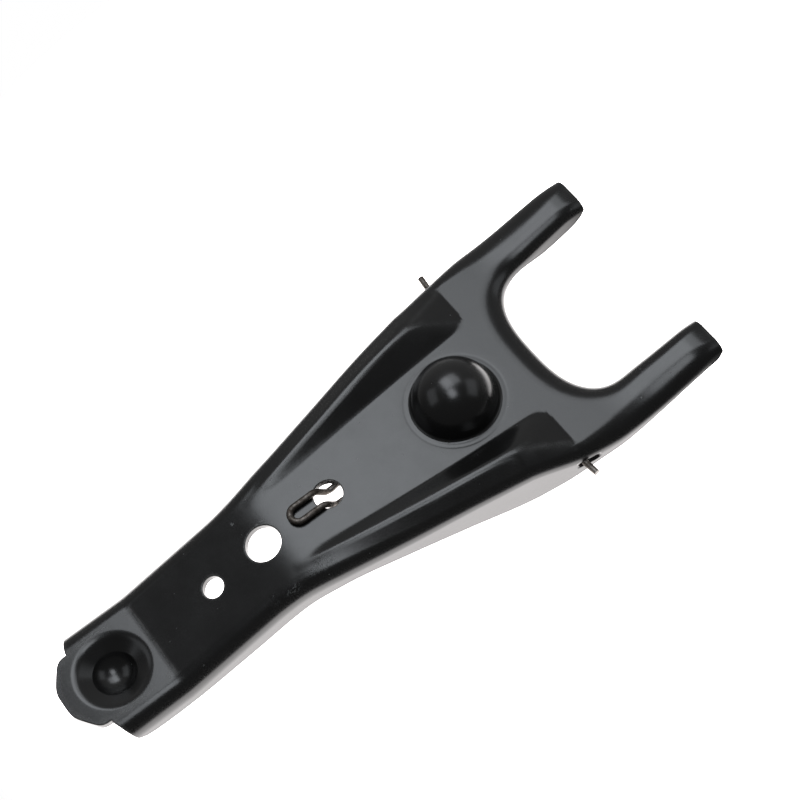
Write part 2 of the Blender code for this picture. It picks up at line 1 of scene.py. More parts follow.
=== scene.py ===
"""Dressed model of a pressed-steel clutch fork with its wire retaining clip, on a pale table.

Sizes are millimetres in a press frame: x along the fork toward the arms, y across it, z = 0 on the
web's outer face and x = 0, y = 0 over the ball seat. Finished meshes are in metres at rest.
"""
import logging
import math
from bisect import bisect_left
from collections.abc import Callable
from dataclasses import dataclass, field
from enum import Enum

import bmesh
import bpy
import numpy as np
from mathutils import Euler, Matrix, Vector
from mathutils.geometry import delaunay_2d_cdt
from mathutils.kdtree import KDTree


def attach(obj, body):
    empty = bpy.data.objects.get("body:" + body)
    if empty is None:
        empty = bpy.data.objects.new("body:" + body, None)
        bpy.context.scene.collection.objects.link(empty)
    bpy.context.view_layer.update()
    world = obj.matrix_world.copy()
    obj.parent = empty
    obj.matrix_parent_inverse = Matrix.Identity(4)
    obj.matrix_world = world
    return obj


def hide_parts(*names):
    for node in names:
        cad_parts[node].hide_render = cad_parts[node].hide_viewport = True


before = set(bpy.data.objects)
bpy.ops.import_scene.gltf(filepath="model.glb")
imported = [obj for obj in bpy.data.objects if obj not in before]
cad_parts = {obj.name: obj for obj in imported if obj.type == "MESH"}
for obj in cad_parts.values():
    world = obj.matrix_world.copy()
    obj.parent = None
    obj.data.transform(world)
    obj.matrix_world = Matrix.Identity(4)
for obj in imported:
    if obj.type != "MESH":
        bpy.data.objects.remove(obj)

LOG = logging.getLogger("clutch_fork")
MM = 0.001
SHARP_ANGLE = math.radians(50)
# Where the press frame lies once the fork rests on the table on its flange edges.
REST_POSE = (Matrix.Translation((38.9502 * MM, 0.0, 14.898 * MM))
             @ Matrix.Rotation(0.0411024, 4, "Y"))


class Lamp(Enum):
    """Soft lamps round the table."""

    OVERHEAD = "overhead"
    FAR_OVERHEAD = "far_overhead"
    NEAR_OVERHEAD = "near_overhead"
    RIGHT_PANEL = "right_panel"
    LEFT_PANEL = "left_panel"


@dataclass(frozen=True)
class Course:
    """Value that changes along the fork as a monotone cubic through its stations.

    Attributes:
        stations: Pairs of place and value, in order.
        tangents: Slope at each station, worked out from them.
    """

    stations: tuple[tuple[float, float], ...]
    tangents: tuple[float, ...] = field(init=False)

    def __post_init__(self) -> None:
        """Works out the slope at each station."""
        pairs = self.stations
        slopes = [(b[1] - a[1]) / (b[0] - a[0]) for a, b in zip(pairs, pairs[1:])]
        inner = [2 * a * b / (a + b) if a * b > 0 else 0.0 for a, b in zip(slopes, slopes[1:])]
        object.__setattr__(self, "tangents", (slopes[0], *inner, slopes[-1]))

    def at(self, x: float) -> float:
        """Value at a place.

        Args:
            x: Place along the fork.

        Returns:
            The value there, held level beyond both ends.
        """
        pairs = self.stations
        if x <= pairs[0][0]:
            return pairs[0][1]
        if x >= pairs[-1][0]:
            return pairs[-1][1]
        i = bisect_left(pairs, (x, -math.inf)) - 1
        (ax, ay), (bx, by) = pairs[i], pairs[i + 1]
        width = bx - ax
        t = (x - ax) / width
        start = (1 + 2 * t) * (1 - t) ** 2 * ay + t * (1 - t) ** 2 * width * self.tangents[i]
        end = t * t * (3 - 2 * t) * by - t * t * (1 - t) * width * self.tangents[i + 1]
        return start + end


def soft_min(a: float, b: float, blend: float) -> float:
    """Smaller of two heights, rounded where they cross.

    Args:
        a: One height.
        b: The other height.
        blend: Difference of heights within which they are blended.

    Returns:
        The blended height.
    """
    if blend <= 0:
        return min(a, b)
    overlap = max(blend - abs(a - b), 0.0) / blend
    return min(a, b) - overlap * overlap * blend / 4


def soft_max(a: float, b: float, blend: float) -> float:
    """Larger of two heights, rounded where they cross."""
    return -soft_min(-a, -b, blend)


def spread(start: float, end: float, step: float) -> list[float]:
    """Evenly spaced values.

    Args:
        start: First value.
        end: Last value.
        step: Distance between values, about.

    Returns:
        The values, both ends included.
    """
    count = max(round(abs(end - start) / step), 1)
    return [start + (end - start) * i / count for i in range(count + 1)]


def half_ring(x: float, radius: float, segments: int, stretch: float = 1.0) -> list[tuple[float, float]]:
    """Half circle of plan points round a place on the axis.

    Args:
        x: Place of the middle.
        radius: Radius across the fork.
        segments: Number of sides in the half circle.
        stretch: Length along the fork over width.

    Returns:
        The points, from the arms' side round to the handle's side.
    """
    ring = []
    for i in range(segments + 1):
        angle = math.pi * i / segments
        y = 0.0 if i in (0, segments) else radius * math.sin(angle)
        ring.append((x + stretch * radius * math.cos(angle), y))
    return ring


def within(polygon: list[tuple[float, float]], places: np.ndarray) -> np.ndarray:
    """Which plan points lie inside a closed polygon.

    Args:
        polygon: Corners of the polygon.
        places: Points, one row each.

    Returns:
        A true or false value for each point.
    """
    hit = np.zeros(len(places), bool)
    x, y = places[:, 0], places[:, 1]
    for (ax, ay), (bx, by) in zip(polygon, polygon[1:] + polygon[:1]):
        if ay != by:
            hit ^= ((ay > y) != (by > y)) & (x < ax + (y - ay) * (bx - ax) / (by - ay))
    return hit


def new_object(name: str, data: bpy.types.ID) -> bpy.types.Object:
    """Object in the scene, at the origin.

    Args:
        name: Name of the object.
        data: Mesh, curve, lamp or camera that it shows.

    Returns:
        The new object.
    """
    made = bpy.data.objects.new(name, data)
    bpy.context.scene.collection.objects.link(made)
    return made


def evaluated_mesh(holder: bpy.types.Object) -> bpy.types.Mesh:
    """Plain mesh of an object with its modifiers applied.

    Args:
        holder: Object with live modifiers.

    Returns:
        A new mesh.
    """
    bpy.context.view_layer.update()
    graph = bpy.context.evaluated_depsgraph_get()
    return bpy.data.meshes.new_from_object(holder.evaluated_get(graph))


def dress(piece: bpy.types.Object, material: bpy.types.Material) -> None:
    """Gives a piece one material all over."""
    piece.data.materials.clear()
    piece.data.materials.append(material)


class Value:
    """Number that varies over a surface, for writing shader maths as expressions."""

    def __init__(self, tree: bpy.types.NodeTree, socket: bpy.types.NodeSocket) -> None:
        """Wraps an output socket of a node tree."""
        self.tree = tree
        self.socket = socket

    def _math(self, operation: str, *terms: "Value | float") -> "Value":
        """Adds a Math node.

        Args:
            operation: What the node works out.
            *terms: Its inputs, in order.

        Returns:
            The result.
        """
        node = self.tree.nodes.new("ShaderNodeMath")
        node.operation = operation
        for socket, term in zip(node.inputs, terms):
            if isinstance(term, Value):
                self.tree.links.new(term.socket, socket)
            else:
                socket.default_value = term
        return Value(self.tree, node.outputs[0])

    def __add__(self, other: "Value | float") -> "Value":
        """Sum."""
        return self._math("ADD", self, other)

    def __radd__(self, other: float) -> "Value":
        """Sum with a number in front."""
        return self._math("ADD", other, self)

    def __sub__(self, other: "Value | float") -> "Value":
        """Difference."""
        return self._math("SUBTRACT", self, other)

    def __rsub__(self, other: float) -> "Value":
        """Difference from a number."""
        return self._math("SUBTRACT", other, self)

    def __mul__(self, other: "Value | float") -> "Value":
        """Product."""
        return self._math("MULTIPLY", self, other)

    def __rmul__(self, other: float) -> "Value":
        """Product with a number in front."""
        return self._math("MULTIPLY", other, self)

    def rise(self, low: float, high: float) -> "Value":
        """Smooth step.

        Args:
            low: Where the step is at 0.
            high: Where the step is at 1, which may be the smaller.

        Returns:
            A value from 0 to 1.
        """
        node = self.tree.nodes.new("ShaderNodeMapRange")
        node.interpolation_type = "SMOOTHSTEP"
        turned = low > high
        node.inputs["From Min"].default_value = high if turned else low
        node.inputs["From Max"].default_value = low if turned else high
        node.inputs["To Min"].default_value = 1.0 if turned else 0.0
        node.inputs["To Max"].default_value = 0.0 if turned else 1.0
        self.tree.links.new(self.socket, node.inputs["Value"])
        return Value(self.tree, node.outputs["Result"])

    def largest(self, other: "Value | float") -> "Value":
        """Larger of two values."""
        return self._math("MAXIMUM", self, other)


class Recipe:
    """Node tree of a material, a world or a modifier, built node by node."""

    def __init__(self, tree: bpy.types.NodeTree) -> None:
        """Starts an empty tree."""
        self.tree = tree
        tree.nodes.clear()

    def node(self, kind: str, settings: dict[str, object] | None = None,
             **values: object) -> bpy.types.Node:
        """Adds a node.

        Args:
            kind: Type of the node.
            settings: Properties of the node, set before its sockets.
            **values: Value or link of each input, by name with its spaces written as underscores, or
                by number after an underscore.

        Returns:
            The new node.
        """
        made = self.tree.nodes.new(kind)
        for key, setting in (settings or {}).items():
            setattr(made, key, setting)
        for key, value in values.items():
            socket = made.inputs[int(key[1:]) if key[1:].isdigit() else key.replace("_", " ")]
            if isinstance(value, Value):
                self.tree.links.new(value.socket, socket)
            elif isinstance(value, bpy.types.NodeSocket):
                self.tree.links.new(value, socket)
            else:
                socket.default_value = value
        return made

    def value(self, socket: bpy.types.NodeSocket) -> Value:
        """Wraps a socket for maths."""
        return Value(self.tree, socket)

    def noise(self, scale: float, detail: float, place: bpy.types.NodeSocket,
              roughness: float = 0.5) -> Value:
        """Cloudy pattern.

        Args:
            scale: Size of the pattern, in features a metre.
            detail: Number of finer layers.
            place: Coordinates that it follows.
            roughness: Strength of the finer layers.

        Returns:
            A value about 0.5.
        """
        made = self.node("ShaderNodeTexNoise", {"noise_dimensions": "3D"}, Vector=place, Scale=scale,
                         Detail=detail, Roughness=roughness)
        return self.value(made.outputs["Fac"])

    def specks(self, scale: float, place: bpy.types.NodeSocket, size: float, share: float) -> Value:
        """Scattered small dots.

        Args:
            scale: Cells a metre.
            place: Coordinates that they follow.
            size: Radius of the largest dot in cells.
            share: Share of the cells that hold a dot.

        Returns:
            1 on a dot and 0 elsewhere.
        """
        cells = self.node("ShaderNodeTexVoronoi", {"feature": "F1"}, Vector=place, Scale=scale,
                          Randomness=1.0)
        chance = self.node("ShaderNodeSeparateColor", None, Color=cells.outputs["Color"])
        present = self.value(chance.outputs["Red"]).rise(share, share - 0.02)
        reach = self.value(chance.outputs["Green"]) * size
        near = (reach - self.value(cells.outputs["Distance"])).rise(0.0, size * 0.4)
        return near * present

    def tint(self, share: Value, low: tuple[float, ...], high: tuple[float, ...]) -> bpy.types.NodeSocket:
        """Colour between two by a share."""
        mix = self.node("ShaderNodeMix", {"data_type": "RGBA"}, _0=share, _6=(*low, 1.0), _7=(*high, 1.0))
        return mix.outputs[2]

    def blend(self, share: Value | bpy.types.NodeSocket, low: bpy.types.NodeSocket,
              high: tuple[float, ...]) -> bpy.types.NodeSocket:
        """Colour that turns from a linked one to a plain one by a share."""
        mix = self.node("ShaderNodeMix", {"data_type": "RGBA"}, _0=share, _6=low, _7=(*high, 1.0))
        return mix.outputs[2]

    def from_middle(self, place: bpy.types.NodeSocket, middle: Vector, sizes: tuple[float, ...]) -> Value:
        """Distance from a middle in half lengths of a box.

        Args:
            place: Object coordinates.
            middle: The middle, in metres.
            sizes: Half lengths of the box in metres.

        Returns:
            0 in the middle and 1 at the box's sides.
        """
        centred = self.node("ShaderNodeMapping", {"vector_type": "TEXTURE"}, Vector=place, Location=middle,
                            Scale=sizes)
        reach = self.node("ShaderNodeVectorMath", {"operation": "LENGTH"}, _0=centred.outputs[0])
        return self.value(reach.outputs["Value"])

    def bump(self, height: Value, depth: float, strength: float) -> bpy.types.NodeSocket:
        """Normal of a fine relief.

        Args:
            height: Relief from 0 to 1.
            depth: Its depth in metres.
            strength: Share of it that shows.

        Returns:
            The normal.
        """
        made = self.node("ShaderNodeBump", None, Height=height, Distance=depth, Strength=strength)
        return made.outputs["Normal"]

    def capture(self, geometry: bpy.types.NodeSocket, name: str,
                number: bpy.types.NodeSocket) -> tuple[bpy.types.NodeSocket, Value]:
        """Keeps a number on the points of a geometry.

        Args:
            geometry: The geometry.
            name: Name of the number.
            number: What it is at each point.

        Returns:
            The geometry that carries it, and the number.
        """
        made = self.node("GeometryNodeCaptureAttribute")
        made.capture_items.new("FLOAT", name)
        self.tree.links.new(geometry, made.inputs["Geometry"])
        self.tree.links.new(number, made.inputs[name])
        return made.outputs["Geometry"], self.value(made.outputs[name])

    def surface(self, shader: bpy.types.Node) -> None:
        """Ends the tree of a material with its shader."""
        self.node("ShaderNodeOutputMaterial", None, Surface=shader.outputs["BSDF"])


def new_material(name: str) -> tuple[bpy.types.Material, Recipe, bpy.types.NodeSocket]:
    """Material with an empty recipe.

    Args:
        name: Name of the material.

    Returns:
        The material, its recipe and the object coordinates in it.
    """
    material = bpy.data.materials.new(name)
    material.use_nodes = True
    recipe = Recipe(material.node_tree)
    return material, recipe, recipe.node("ShaderNodeTexCoord").outputs["Object"]


@dataclass(frozen=True)
class Scuff:
    """Rubbed patch on the paint.

    Attributes:
        x: Place along the fork.
        y: Place across it.
        z: Height in the press frame.
        length: Half length along the fork.
        width: Half width across it.
        strength: How far the paint is rubbed.
    """

    x: float
    y: float
    z: float
    length: float
    width: float
    strength: float


@dataclass(frozen=True)
class BlackPaint:
    """Semi-gloss black paint on pressed steel.

    Attributes:
        film: Colour of the film.
        dusty: Colour where dust or rubbing dulls it.
        bare_and_highlight: Colour of rubbed edges, also the painted highlight along creases and rims.
        gloss: Roughness of the clean film.
        refraction: Index of refraction of the film.
        cloud_scale: Broad clouds in its gloss, a metre.
        mottle_scale: Blotches of half-rubbed paint, a metre.
        peel_scale: Ripples of the film, a metre.
        peel_depth: Depth of the ripples in metres.
        rub_scale: Flecks in the rubbed patches, a metre.
        grit_scale: Grains of the film, a metre.
        dust_cells: Cells a metre that may hold a speck of dust.
        mote_cells: Cells a metre that may hold a larger mote.
        scuff_depth: Half height in millimetres of the space that a scuff fills.
        scuffs: The rubbed patches.
    """

    film: tuple[float, float, float] = (0.0058, 0.0058, 0.0057)
    dusty: tuple[float, float, float] = (0.055, 0.057, 0.058)
    bare_and_highlight: tuple[float, float, float] = (0.075, 0.074, 0.072)
    gloss: float = 0.23
    refraction: float = 1.52
    cloud_scale: float = 90.0
    mottle_scale: float = 340.0
    peel_scale: float = 620.0
    peel_depth: float = 0.000012
    rub_scale: float = 1100.0
    grit_scale: float = 3600.0
    dust_cells: float = 520.0
    mote_cells: float = 210.0
    scuff_depth: float = 2.0
    scuffs: tuple[Scuff, ...] = (
        Scuff(-63.5, -17.8, -0.4, 6.5, 2.6, 0.75),
        Scuff(-75.8, -18.3, -1.6, 4.6, 2.2, 0.80),
        Scuff(-82.3, -18.0, -2.4, 3.6, 1.6, 0.60),
        Scuff(-71.4, 5.9, 0.0, 2.6, 0.9, 0.80),
        Scuff(-77.4, 11.9, -1.6, 1.2, 0.8, 0.90),
        Scuff(-6.8, -12.4, 5.6, 1.6, 1.2, 0.95),
        Scuff(-28.0, -1.0, 0.0, 13.0, 7.0, 0.10),
    )

    def material(self) -> bpy.types.Material:
        """Makes the material, for a piece whose wear attribute holds worn edges and painted highlight.

        Returns:
            The material.
        """
        material, recipe, place = new_material("black_paint_film")
        cloud = recipe.noise(self.cloud_scale, 3.0, place)
        mottle = recipe.noise(self.mottle_scale, 4.0, place, 0.6)
        peel = recipe.noise(self.peel_scale, 2.0, place)
        grit = recipe.noise(self.grit_scale, 2.0, place, 0.7)
        dust = recipe.specks(self.dust_cells, place, 0.20, 0.10)
        motes = recipe.specks(self.mote_cells, place, 0.12, 0.10)
        flecks = recipe.noise(self.rub_scale, 2.0, place, 0.6).rise(0.46, 0.60)
        rub = self._rubbed(recipe, place) * flecks
        # The wear attribute holds worn rims and a painted highlight along the rims, the rib crests and the
        # pad's crease.
        wear_and_highlight = recipe.value(recipe.node("ShaderNodeAttribute", {"attribute_name": "wear_and_highlight"}).outputs["Fac"])
        edge = wear_and_highlight * (0.55 + 0.45 * mottle.rise(0.34, 0.66))
        dull = (dust * 0.55).largest(motes * 0.8).largest(rub)
        colour = recipe.tint(dull, self.film, self.dusty)
        # Painted highlight and wear: worn rims and creases are blended toward the lighter bare colour.
        colour = recipe.blend(edge * 0.55, colour, self.bare_and_highlight)
        roughness = self.gloss + (cloud - 0.5) * 0.10 + (mottle - 0.5) * 0.06 + dull * 0.22 + edge * 0.10
        relief = peel + grit * 0.10 + dull * 0.8 + mottle * 0.35
        recipe.surface(recipe.node("ShaderNodeBsdfPrincipled", None, Base_Color=colour, Roughness=roughness,
                                   Metallic=0.0, IOR=self.refraction,
                                   Normal=recipe.bump(relief, self.peel_depth, 0.5)))
        return material

    def _rubbed(self, recipe: Recipe, place: bpy.types.NodeSocket) -> Value:
        """Mask of the rubbed patches.

        Args:
            recipe: Tree of the material.
            place: Object coordinates.

        Returns:
            A value from 0 to 1.
        """
        total: Value | None = None
        for scuff in self.scuffs:
            middle = REST_POSE @ (Vector((scuff.x, scuff.y, scuff.z)) * MM)
            sizes = (scuff.length * MM, scuff.width * MM, self.scuff_depth * MM)
            mask = recipe.from_middle(place, middle, sizes).rise(1.0, 0.35) * scuff.strength
            total = mask if total is None else total.largest(mask)
        return total


@dataclass(frozen=True)
class SpringWire:
    """Drawn spring wire with a thin brown oxide.

    Attributes:
        steel: Colour of the clean wire.
        oxide: Colour of the oxide.
        gloss: Roughness of the clean wire.
        patch_scale: Patches of oxide, a metre.
        stain_scale: Finer stains, a metre.
        pit_cells: Cells a metre that may hold a pit.
        relief_depth: Depth of the drawn streaks in metres.
    """

    steel: tuple[float, float, float] = (0.16, 0.147, 0.135)
    oxide: tuple[float, float, float] = (0.055, 0.046, 0.038)
    gloss: float = 0.42
    patch_scale: float = 260.0
    stain_scale: float = 900.0
    pit_cells: float = 1500.0
    relief_depth: float = 0.000012

    def material(self) -> bpy.types.Material:
        """Makes the material, for a wire whose drawn attribute tells the place along and round it.

        Returns:
            The material.
        """
        material, recipe, place = new_material("spring_wire_drawn")
        along = recipe.node("ShaderNodeAttribute", {"attribute_name": "drawn"}).outputs["Vector"]
        streak = recipe.noise(1.0, 3.0, along, 0.6)
        patch = recipe.noise(self.patch_scale, 3.0, place, 0.55)
        stain = recipe.noise(self.stain_scale, 3.0, place, 0.6)
        pits = recipe.specks(self.pit_cells, place, 0.22, 0.20)
        old = (patch * 0.6 + stain * 0.4).rise(0.36, 0.60)
        colour = recipe.tint(old, self.steel, self.oxide)
        roughness = self.gloss + old * 0.16 + (streak - 0.5) * 0.24 + pits * 0.2
        relief = streak * 0.8 + stain * 0.3 - pits * 0.8
        recipe.surface(recipe.node("ShaderNodeBsdfPrincipled", None, Base_Color=colour, Roughness=roughness,
                                   Metallic=0.9, Normal=recipe.bump(relief, self.relief_depth, 0.6)))
        return material


@dataclass(frozen=True)
class PaleTable:
    """Pale table top that glows in a painted pool of light round the fork, with painted shade farther out.

    Attributes:
        colour: Colour of the top round the fork.
        far_colour: Its colour farther out, painted dark as shade beyond the pool of light.
        light: Colour of the light that it gives off by itself.
        far_light: The same farther out.
        glow: Strength of that light.
        lit_half: Half length and half width of the painted pool of light in metres.
    """

    colour: tuple[float, float, float] = (0.80, 0.79, 0.78)
    far_colour: tuple[float, float, float] = (0.10, 0.10, 0.10)
    light: tuple[float, float, float] = (1.0, 0.965, 0.955)
    far_light: tuple[float, float, float] = (0.07, 0.07, 0.07)
    glow: float = 3.8
    lit_half: tuple[float, float] = (0.152, 0.088)

    def material(self) -> bpy.types.Material:
        """Makes the material.

        Returns:
            The material.
        """
        material, recipe, place = new_material("pale_table_top")
        # Painted pool of light: within lit_half the top is pale and glows, and beyond it the top is painted
        # dark as shade. Camera rays see it white all over.
        lit = recipe.from_middle(place, Vector((0.0, 0.0, 0.0)), (*self.lit_half, 1.0)).rise(1.1, 0.75)
        seen = recipe.value(recipe.node("ShaderNodeLightPath").outputs["Is Camera Ray"])
        glow = recipe.tint(lit.largest(seen), self.far_light, self.light)
        shader = recipe.node("ShaderNodeBsdfPrincipled", None,
                             Base_Color=recipe.tint(lit, self.far_colour, self.colour),
                             Roughness=0.6 + (recipe.noise(30.0, 2.0, place) - 0.5) * 0.1,
                             Emission_Color=glow, Emission_Strength=self.glow)
        recipe.surface(shader)
        return material


@dataclass
class Skin:
    """Outer face of the pressing, as points with their normals, and its facets.

    Attributes:
        places: Points of the face.
        shading: Normal of each point as it is seen.
        facing: Direction in which the sheet faces outward there, smoothed so that its inner face
            doesn't fold.
        wear_and_highlight: How worn each point is, with the painted highlight along creases and rims, from 0
            to 1.
        faces: Facets, counter-clockwise seen from outside.
    """

    places: list[Vector] = field(default_factory=list)
    shading: list[Vector] = field(default_factory=list)
    facing: list[Vector] = field(default_factory=list)
    wear_and_highlight: list[float] = field(default_factory=list)
    faces: list[tuple[int, ...]] = field(default_factory=list)

    def add(self, place: Vector, shading: Vector, facing: Vector, wear_and_highlight: float = 0.0) -> int:
        """Adds a point.

        Args:
            place: Its place.
            shading: Its normal as it is seen.
            facing: Direction in which the sheet faces outward there.
            wear_and_highlight: How worn it is, with any painted highlight there.

        Returns:
            Its number.
        """
        self.places.append(place)
        self.shading.append(shading)
        self.facing.append(facing)
        self.wear_and_highlight.append(wear_and_highlight)
        return len(self.places) - 1

    def mirrored(self) -> None:
        """Adds the other half, joined along y = 0."""
        twin = {}
        for i in range(len(self.places)):
            place = self.places[i]
            if abs(place.y) < 1e-6:
                for normal in (self.shading[i], self.facing[i]):
                    normal.y = 0.0
                    normal.normalize()
                place.y = 0.0
                twin[i] = i
                continue
            flip = Vector((1.0, -1.0, 1.0))
            twin[i] = self.add(place * flip, self.shading[i] * flip, self.facing[i] * flip, self.wear_and_highlight[i])
        self.faces += [tuple(twin[i] for i in reversed(face)) for face in self.faces]

    def border(self) -> list[tuple[int, int]]:
        """Free edges, in the direction of their facets."""
        used = {(face[k - 1], face[k]) for face in self.faces for k in range(len(face))}
        return [edge for edge in used if (edge[1], edge[0]) not in used]


@dataclass(frozen=True)
class Bend:
    """How the sheet bends into its flange at one station.

    Attributes:
        centre: Middle of the bend in plan.
        outward: Level direction in which the flange faces.
        level: Height of the bend's middle.
        radius: Radius of the bend downward.
        wider: How much longer its radius is outward.
        start: Angle from level at which it starts.
        foot: Height of the flange's lower edge.
        steepest: Steepest angle of the flange in degrees.
    """

    centre: Vector
    outward: Vector
    level: float
    radius: float
    wider: float
    start: float
    foot: float
    steepest: float


Rows = list[list[Vector]]


@dataclass
class Pressing:
    """The pressed fork: one sheet with flanges, ribs, ball seat, cup, arms, holes and slots.

    A Course is a size that changes along x. The edge is the outer bend with its flange, and the gap
    is the opening between the arms.

    Attributes:
        sheet: Thickness of the sheet.
        tip_x: Place of the arm tips.
        bend_x: Place of the bend between handle and body.
        notch_x: Place of the notches where the flanges end.
        tab_side, tab_length, tab_half, tab_end_half: Sizes of the tab at the handle's end.
        end_setback, end_cutback, end_reach: How the flange's end is cut back at the notch.
        edge_r, edge_reach, edge_lean: Radius of the outer bend, how much longer it is outward, and
            steepest angle of its flange in degrees.
        half_width, flange_foot: Offset of the outer flange from the axis, and height of its lower edge.
        gap_r, gap_reach, gap_lean, gap_foot: The same for the gap's bend and flange.
        gap_base_x, gap_half, gap_straight_x, gap_power: Shape of the gap in plan.
        tip_cutback, tip_reach: How the lower corners of the arm tips are cut back.
        edge_land: Shortest straight part of a flange.
        handle_slope: Slope of the handle.
        rise_start_x, rise_end_x, rise_slope: How the arms rise.
        tip_crest_x, tip_fall: Where the arms fall again, and how steeply.
        pad_blend, bend_blend, tip_blend: Blends of the web's heights at the pad round the cup, at the
            bend and at the arms' crest.
        rib_toe_x, rib_end_x, rib_front_x, rib_front_y: Ends of the ribs and of their front facets.
        rib_foot, rib_crest_y, rib_crest_z: Inner edge of the ribs, and offset and height of their crest.
        shoulder_share: Height of the outer bend beside a rib, as a share of the crest's.
        rib_blend, foot_blend, front_blend: Blends of a rib's heights at its crest, its foot and its
            front facet.
        dome_r, dome_rise, dome_fillet: Radius of the ball seat's dome, its stretch upward, and the
            radius of the fillet round it.
        groove_depth, groove_out, groove_half: Faint groove round the dome: its depth, its distance
            from the fillet and its half width.
        cup_setback: Distance of the cup from the notches.
        cup_rim_r, cup_rim_blend, cup_slope: Rim of the push-rod cup and slope of its wall.
        cup_ball_r, cup_lip_r, cup_lip_place: Ball-shaped bottom of the cup and the lip round it.
        pad_land: Flat land between the cup's rim and the handle's slope.
        holes: Place and diameter of each round hole on the axis.
        slot_x, slot_z, slot_length, slot_height: Slots in the flanges.
        edge_round: Radius of the sheared edges.
        crest_highlight, crest_highlight_half: Painted highlight on the crest of a rib, kept with the wear,
            and the half width of it.
        pad_highlight, pad_highlight_half: The same where the handle's slope meets the pad.
        station_step, grid_step, arc_steps, wall_steps, gap_turns, dome_sides, cup_sides, hole_sides,
            crease_steps, tip_steps: How finely the facets follow it.
        near_slope, wall_slope: Half distances over which the slope is taken for the shading, and for
            the direction of the wall.
    """

    sheet: float = 3.0
    tip_x: float = 72.8
    bend_x: float = -69.0
    notch_x: float = -141.3
    tab_side: float = 3.0
    tab_length: float = 9.1
    tab_half: float = 13.4
    tab_end_half: float = 5.4
    end_setback: float = 3.1
    end_cutback: float = 2.8
    end_reach: float = 9.0
    edge_r: Course = Course(((-141.3, 6.5), (-84.2, 6.3), (-40.0, 5.6), (2.0, 5.2), (40.0, 4.9), (72.8, 4.6)))
    edge_reach: Course = Course(((20.0, 0.0), (28.0, 1.6), (36.0, 3.0), (52.0, 3.6), (60.0, 3.2),
                                 (72.8, 0.4)))
    edge_lean: Course = Course(((24.0, 90.0), (40.0, 88.0), (62.0, 85.0), (72.8, 66.0)))
    half_width: Course = Course(((-141.3, 20.5), (-84.2, 20.4), (-76.0, 20.9), (-60.0, 23.9), (-40.0, 28.1),
                                 (-10.0, 34.2), (4.0, 36.9), (22.0, 41.0), (34.0, 42.3), (48.0, 42.2),
                                 (72.8, 41.7)))
    flange_foot: Course = Course(((-141.3, -18.9), (-126.1, -20.0), (-117.0, -19.7), (-100.0, -17.6),
                                  (-84.2, -15.0), (-68.0, -10.9), (-56.0, -9.6), (-40.0, -10.4),
                                  (-20.0, -12.2), (2.0, -14.8), (10.0, -13.5), (22.0, -9.4), (30.5, -7.7),
                                  (36.5, -7.0), (48.0, -4.5), (59.5, -1.8), (66.0, -0.6), (70.5, -0.1),
                                  (72.8, 0.5)))
    gap_r: float = 4.6
    gap_reach: Course = Course(((30.0, 3.6), (50.0, 1.6), (60.0, 1.2), (72.8, 0.4)))
    gap_lean: Course = Course(((36.0, 90.0), (50.0, 85.0), (60.0, 79.0), (72.8, 64.0)))
    gap_base_x: float = 30.0
    gap_half: float = 25.7
    gap_straight_x: float = 47.0
    gap_power: float = 2.65
    gap_foot: Course = Course(((30.0, -7.5), (40.0, -5.2), (47.0, -4.2), (53.0, -4.4), (58.6, -3.5),
                               (64.2, -2.0), (67.9, -0.9), (70.5, -0.2), (72.8, 0.5)))
    tip_cutback: float = 1.5
    tip_reach: float = 6.0
    edge_land: float = 0.7
    handle_slope: float = math.radians(11.5)
    rise_start_x: float = 32.0
    rise_end_x: float = 50.0
    rise_slope: float = 0.19
    tip_crest_x: float = 66.8
    tip_fall: float = 0.16
    pad_blend: float = 0.25
    bend_blend: float = 1.4
    tip_blend: float = 1.1
    rib_toe_x: float = -72.0
    rib_end_x: float = 2.3
    rib_front_x: float = 19.3
    rib_front_y: float = 34.7
    rib_foot: Course = Course(((-77.0, 9.6), (-72.0, 10.8), (-45.0, 14.4), (-10.0, 17.7), (12.0, 19.2),
                               (20.0, 19.8)))
    rib_crest_y: Course = Course(((-77.0, 12.2), (-72.0, 13.2), (-40.0, 20.1), (-10.0, 25.9), (2.3, 27.8)))
    rib_crest_z: Course = Course(((-72.0, 0.0), (-66.0, 0.3), (-59.0, 1.1), (-40.0, 2.8), (-10.0, 5.6),
                                  (2.3, 5.9)))
    shoulder_share: Course = Course(((-70.0, 0.0), (-40.0, 0.4), (-15.0, 0.58), (20.0, 0.58)))
    rib_blend: float = 2.2
    foot_blend: float = 0.6
    front_blend: float = 2.4
    dome_r: float = 13.7
    dome_rise: float = 1.04
    dome_fillet: float = 1.3
    groove_depth: float = 0.05
    groove_out: float = 1.1
    groove_half: float = 0.45
    cup_setback: float = 8.8
    cup_rim_r: float = 11.8
    cup_rim_blend: float = 0.8
    cup_slope: float = math.radians(32.0)
    cup_ball_r: float = 8.0
    cup_lip_r: float = 1.2
    cup_lip_place: float = 7.9
    pad_land: float = 3.3
    holes: tuple[tuple[float, float], ...] = ((-73.8, 11.5), (-93.6, 6.9), (-49.0, 9.3))
    slot_x: float = 20.1
    slot_z: float = -5.3
    slot_length: float = 7.6
    slot_height: float = 2.5
    edge_round: float = 0.4
    crest_highlight: float = 0.35
    crest_highlight_half: float = 0.9
    pad_highlight: float = 0.75
    pad_highlight_half: float = 0.55
    station_step: float = 1.7
    grid_step: float = 2.3
    arc_steps: int = 14
    wall_steps: int = 7
    gap_turns: int = 34
    dome_sides: int = 54
    cup_sides: int = 44
    hole_sides: int = 28
    crease_steps: tuple[float, ...] = (-2.4, -1.6, -0.8, 0.0, 0.8, 1.6, 2.4)
    tip_steps: tuple[float, ...] = (4.6, 3.4, 2.4, 1.5, 0.8, 0.0)
    near_slope: float = 0.05
    wall_slope: float = 1.5

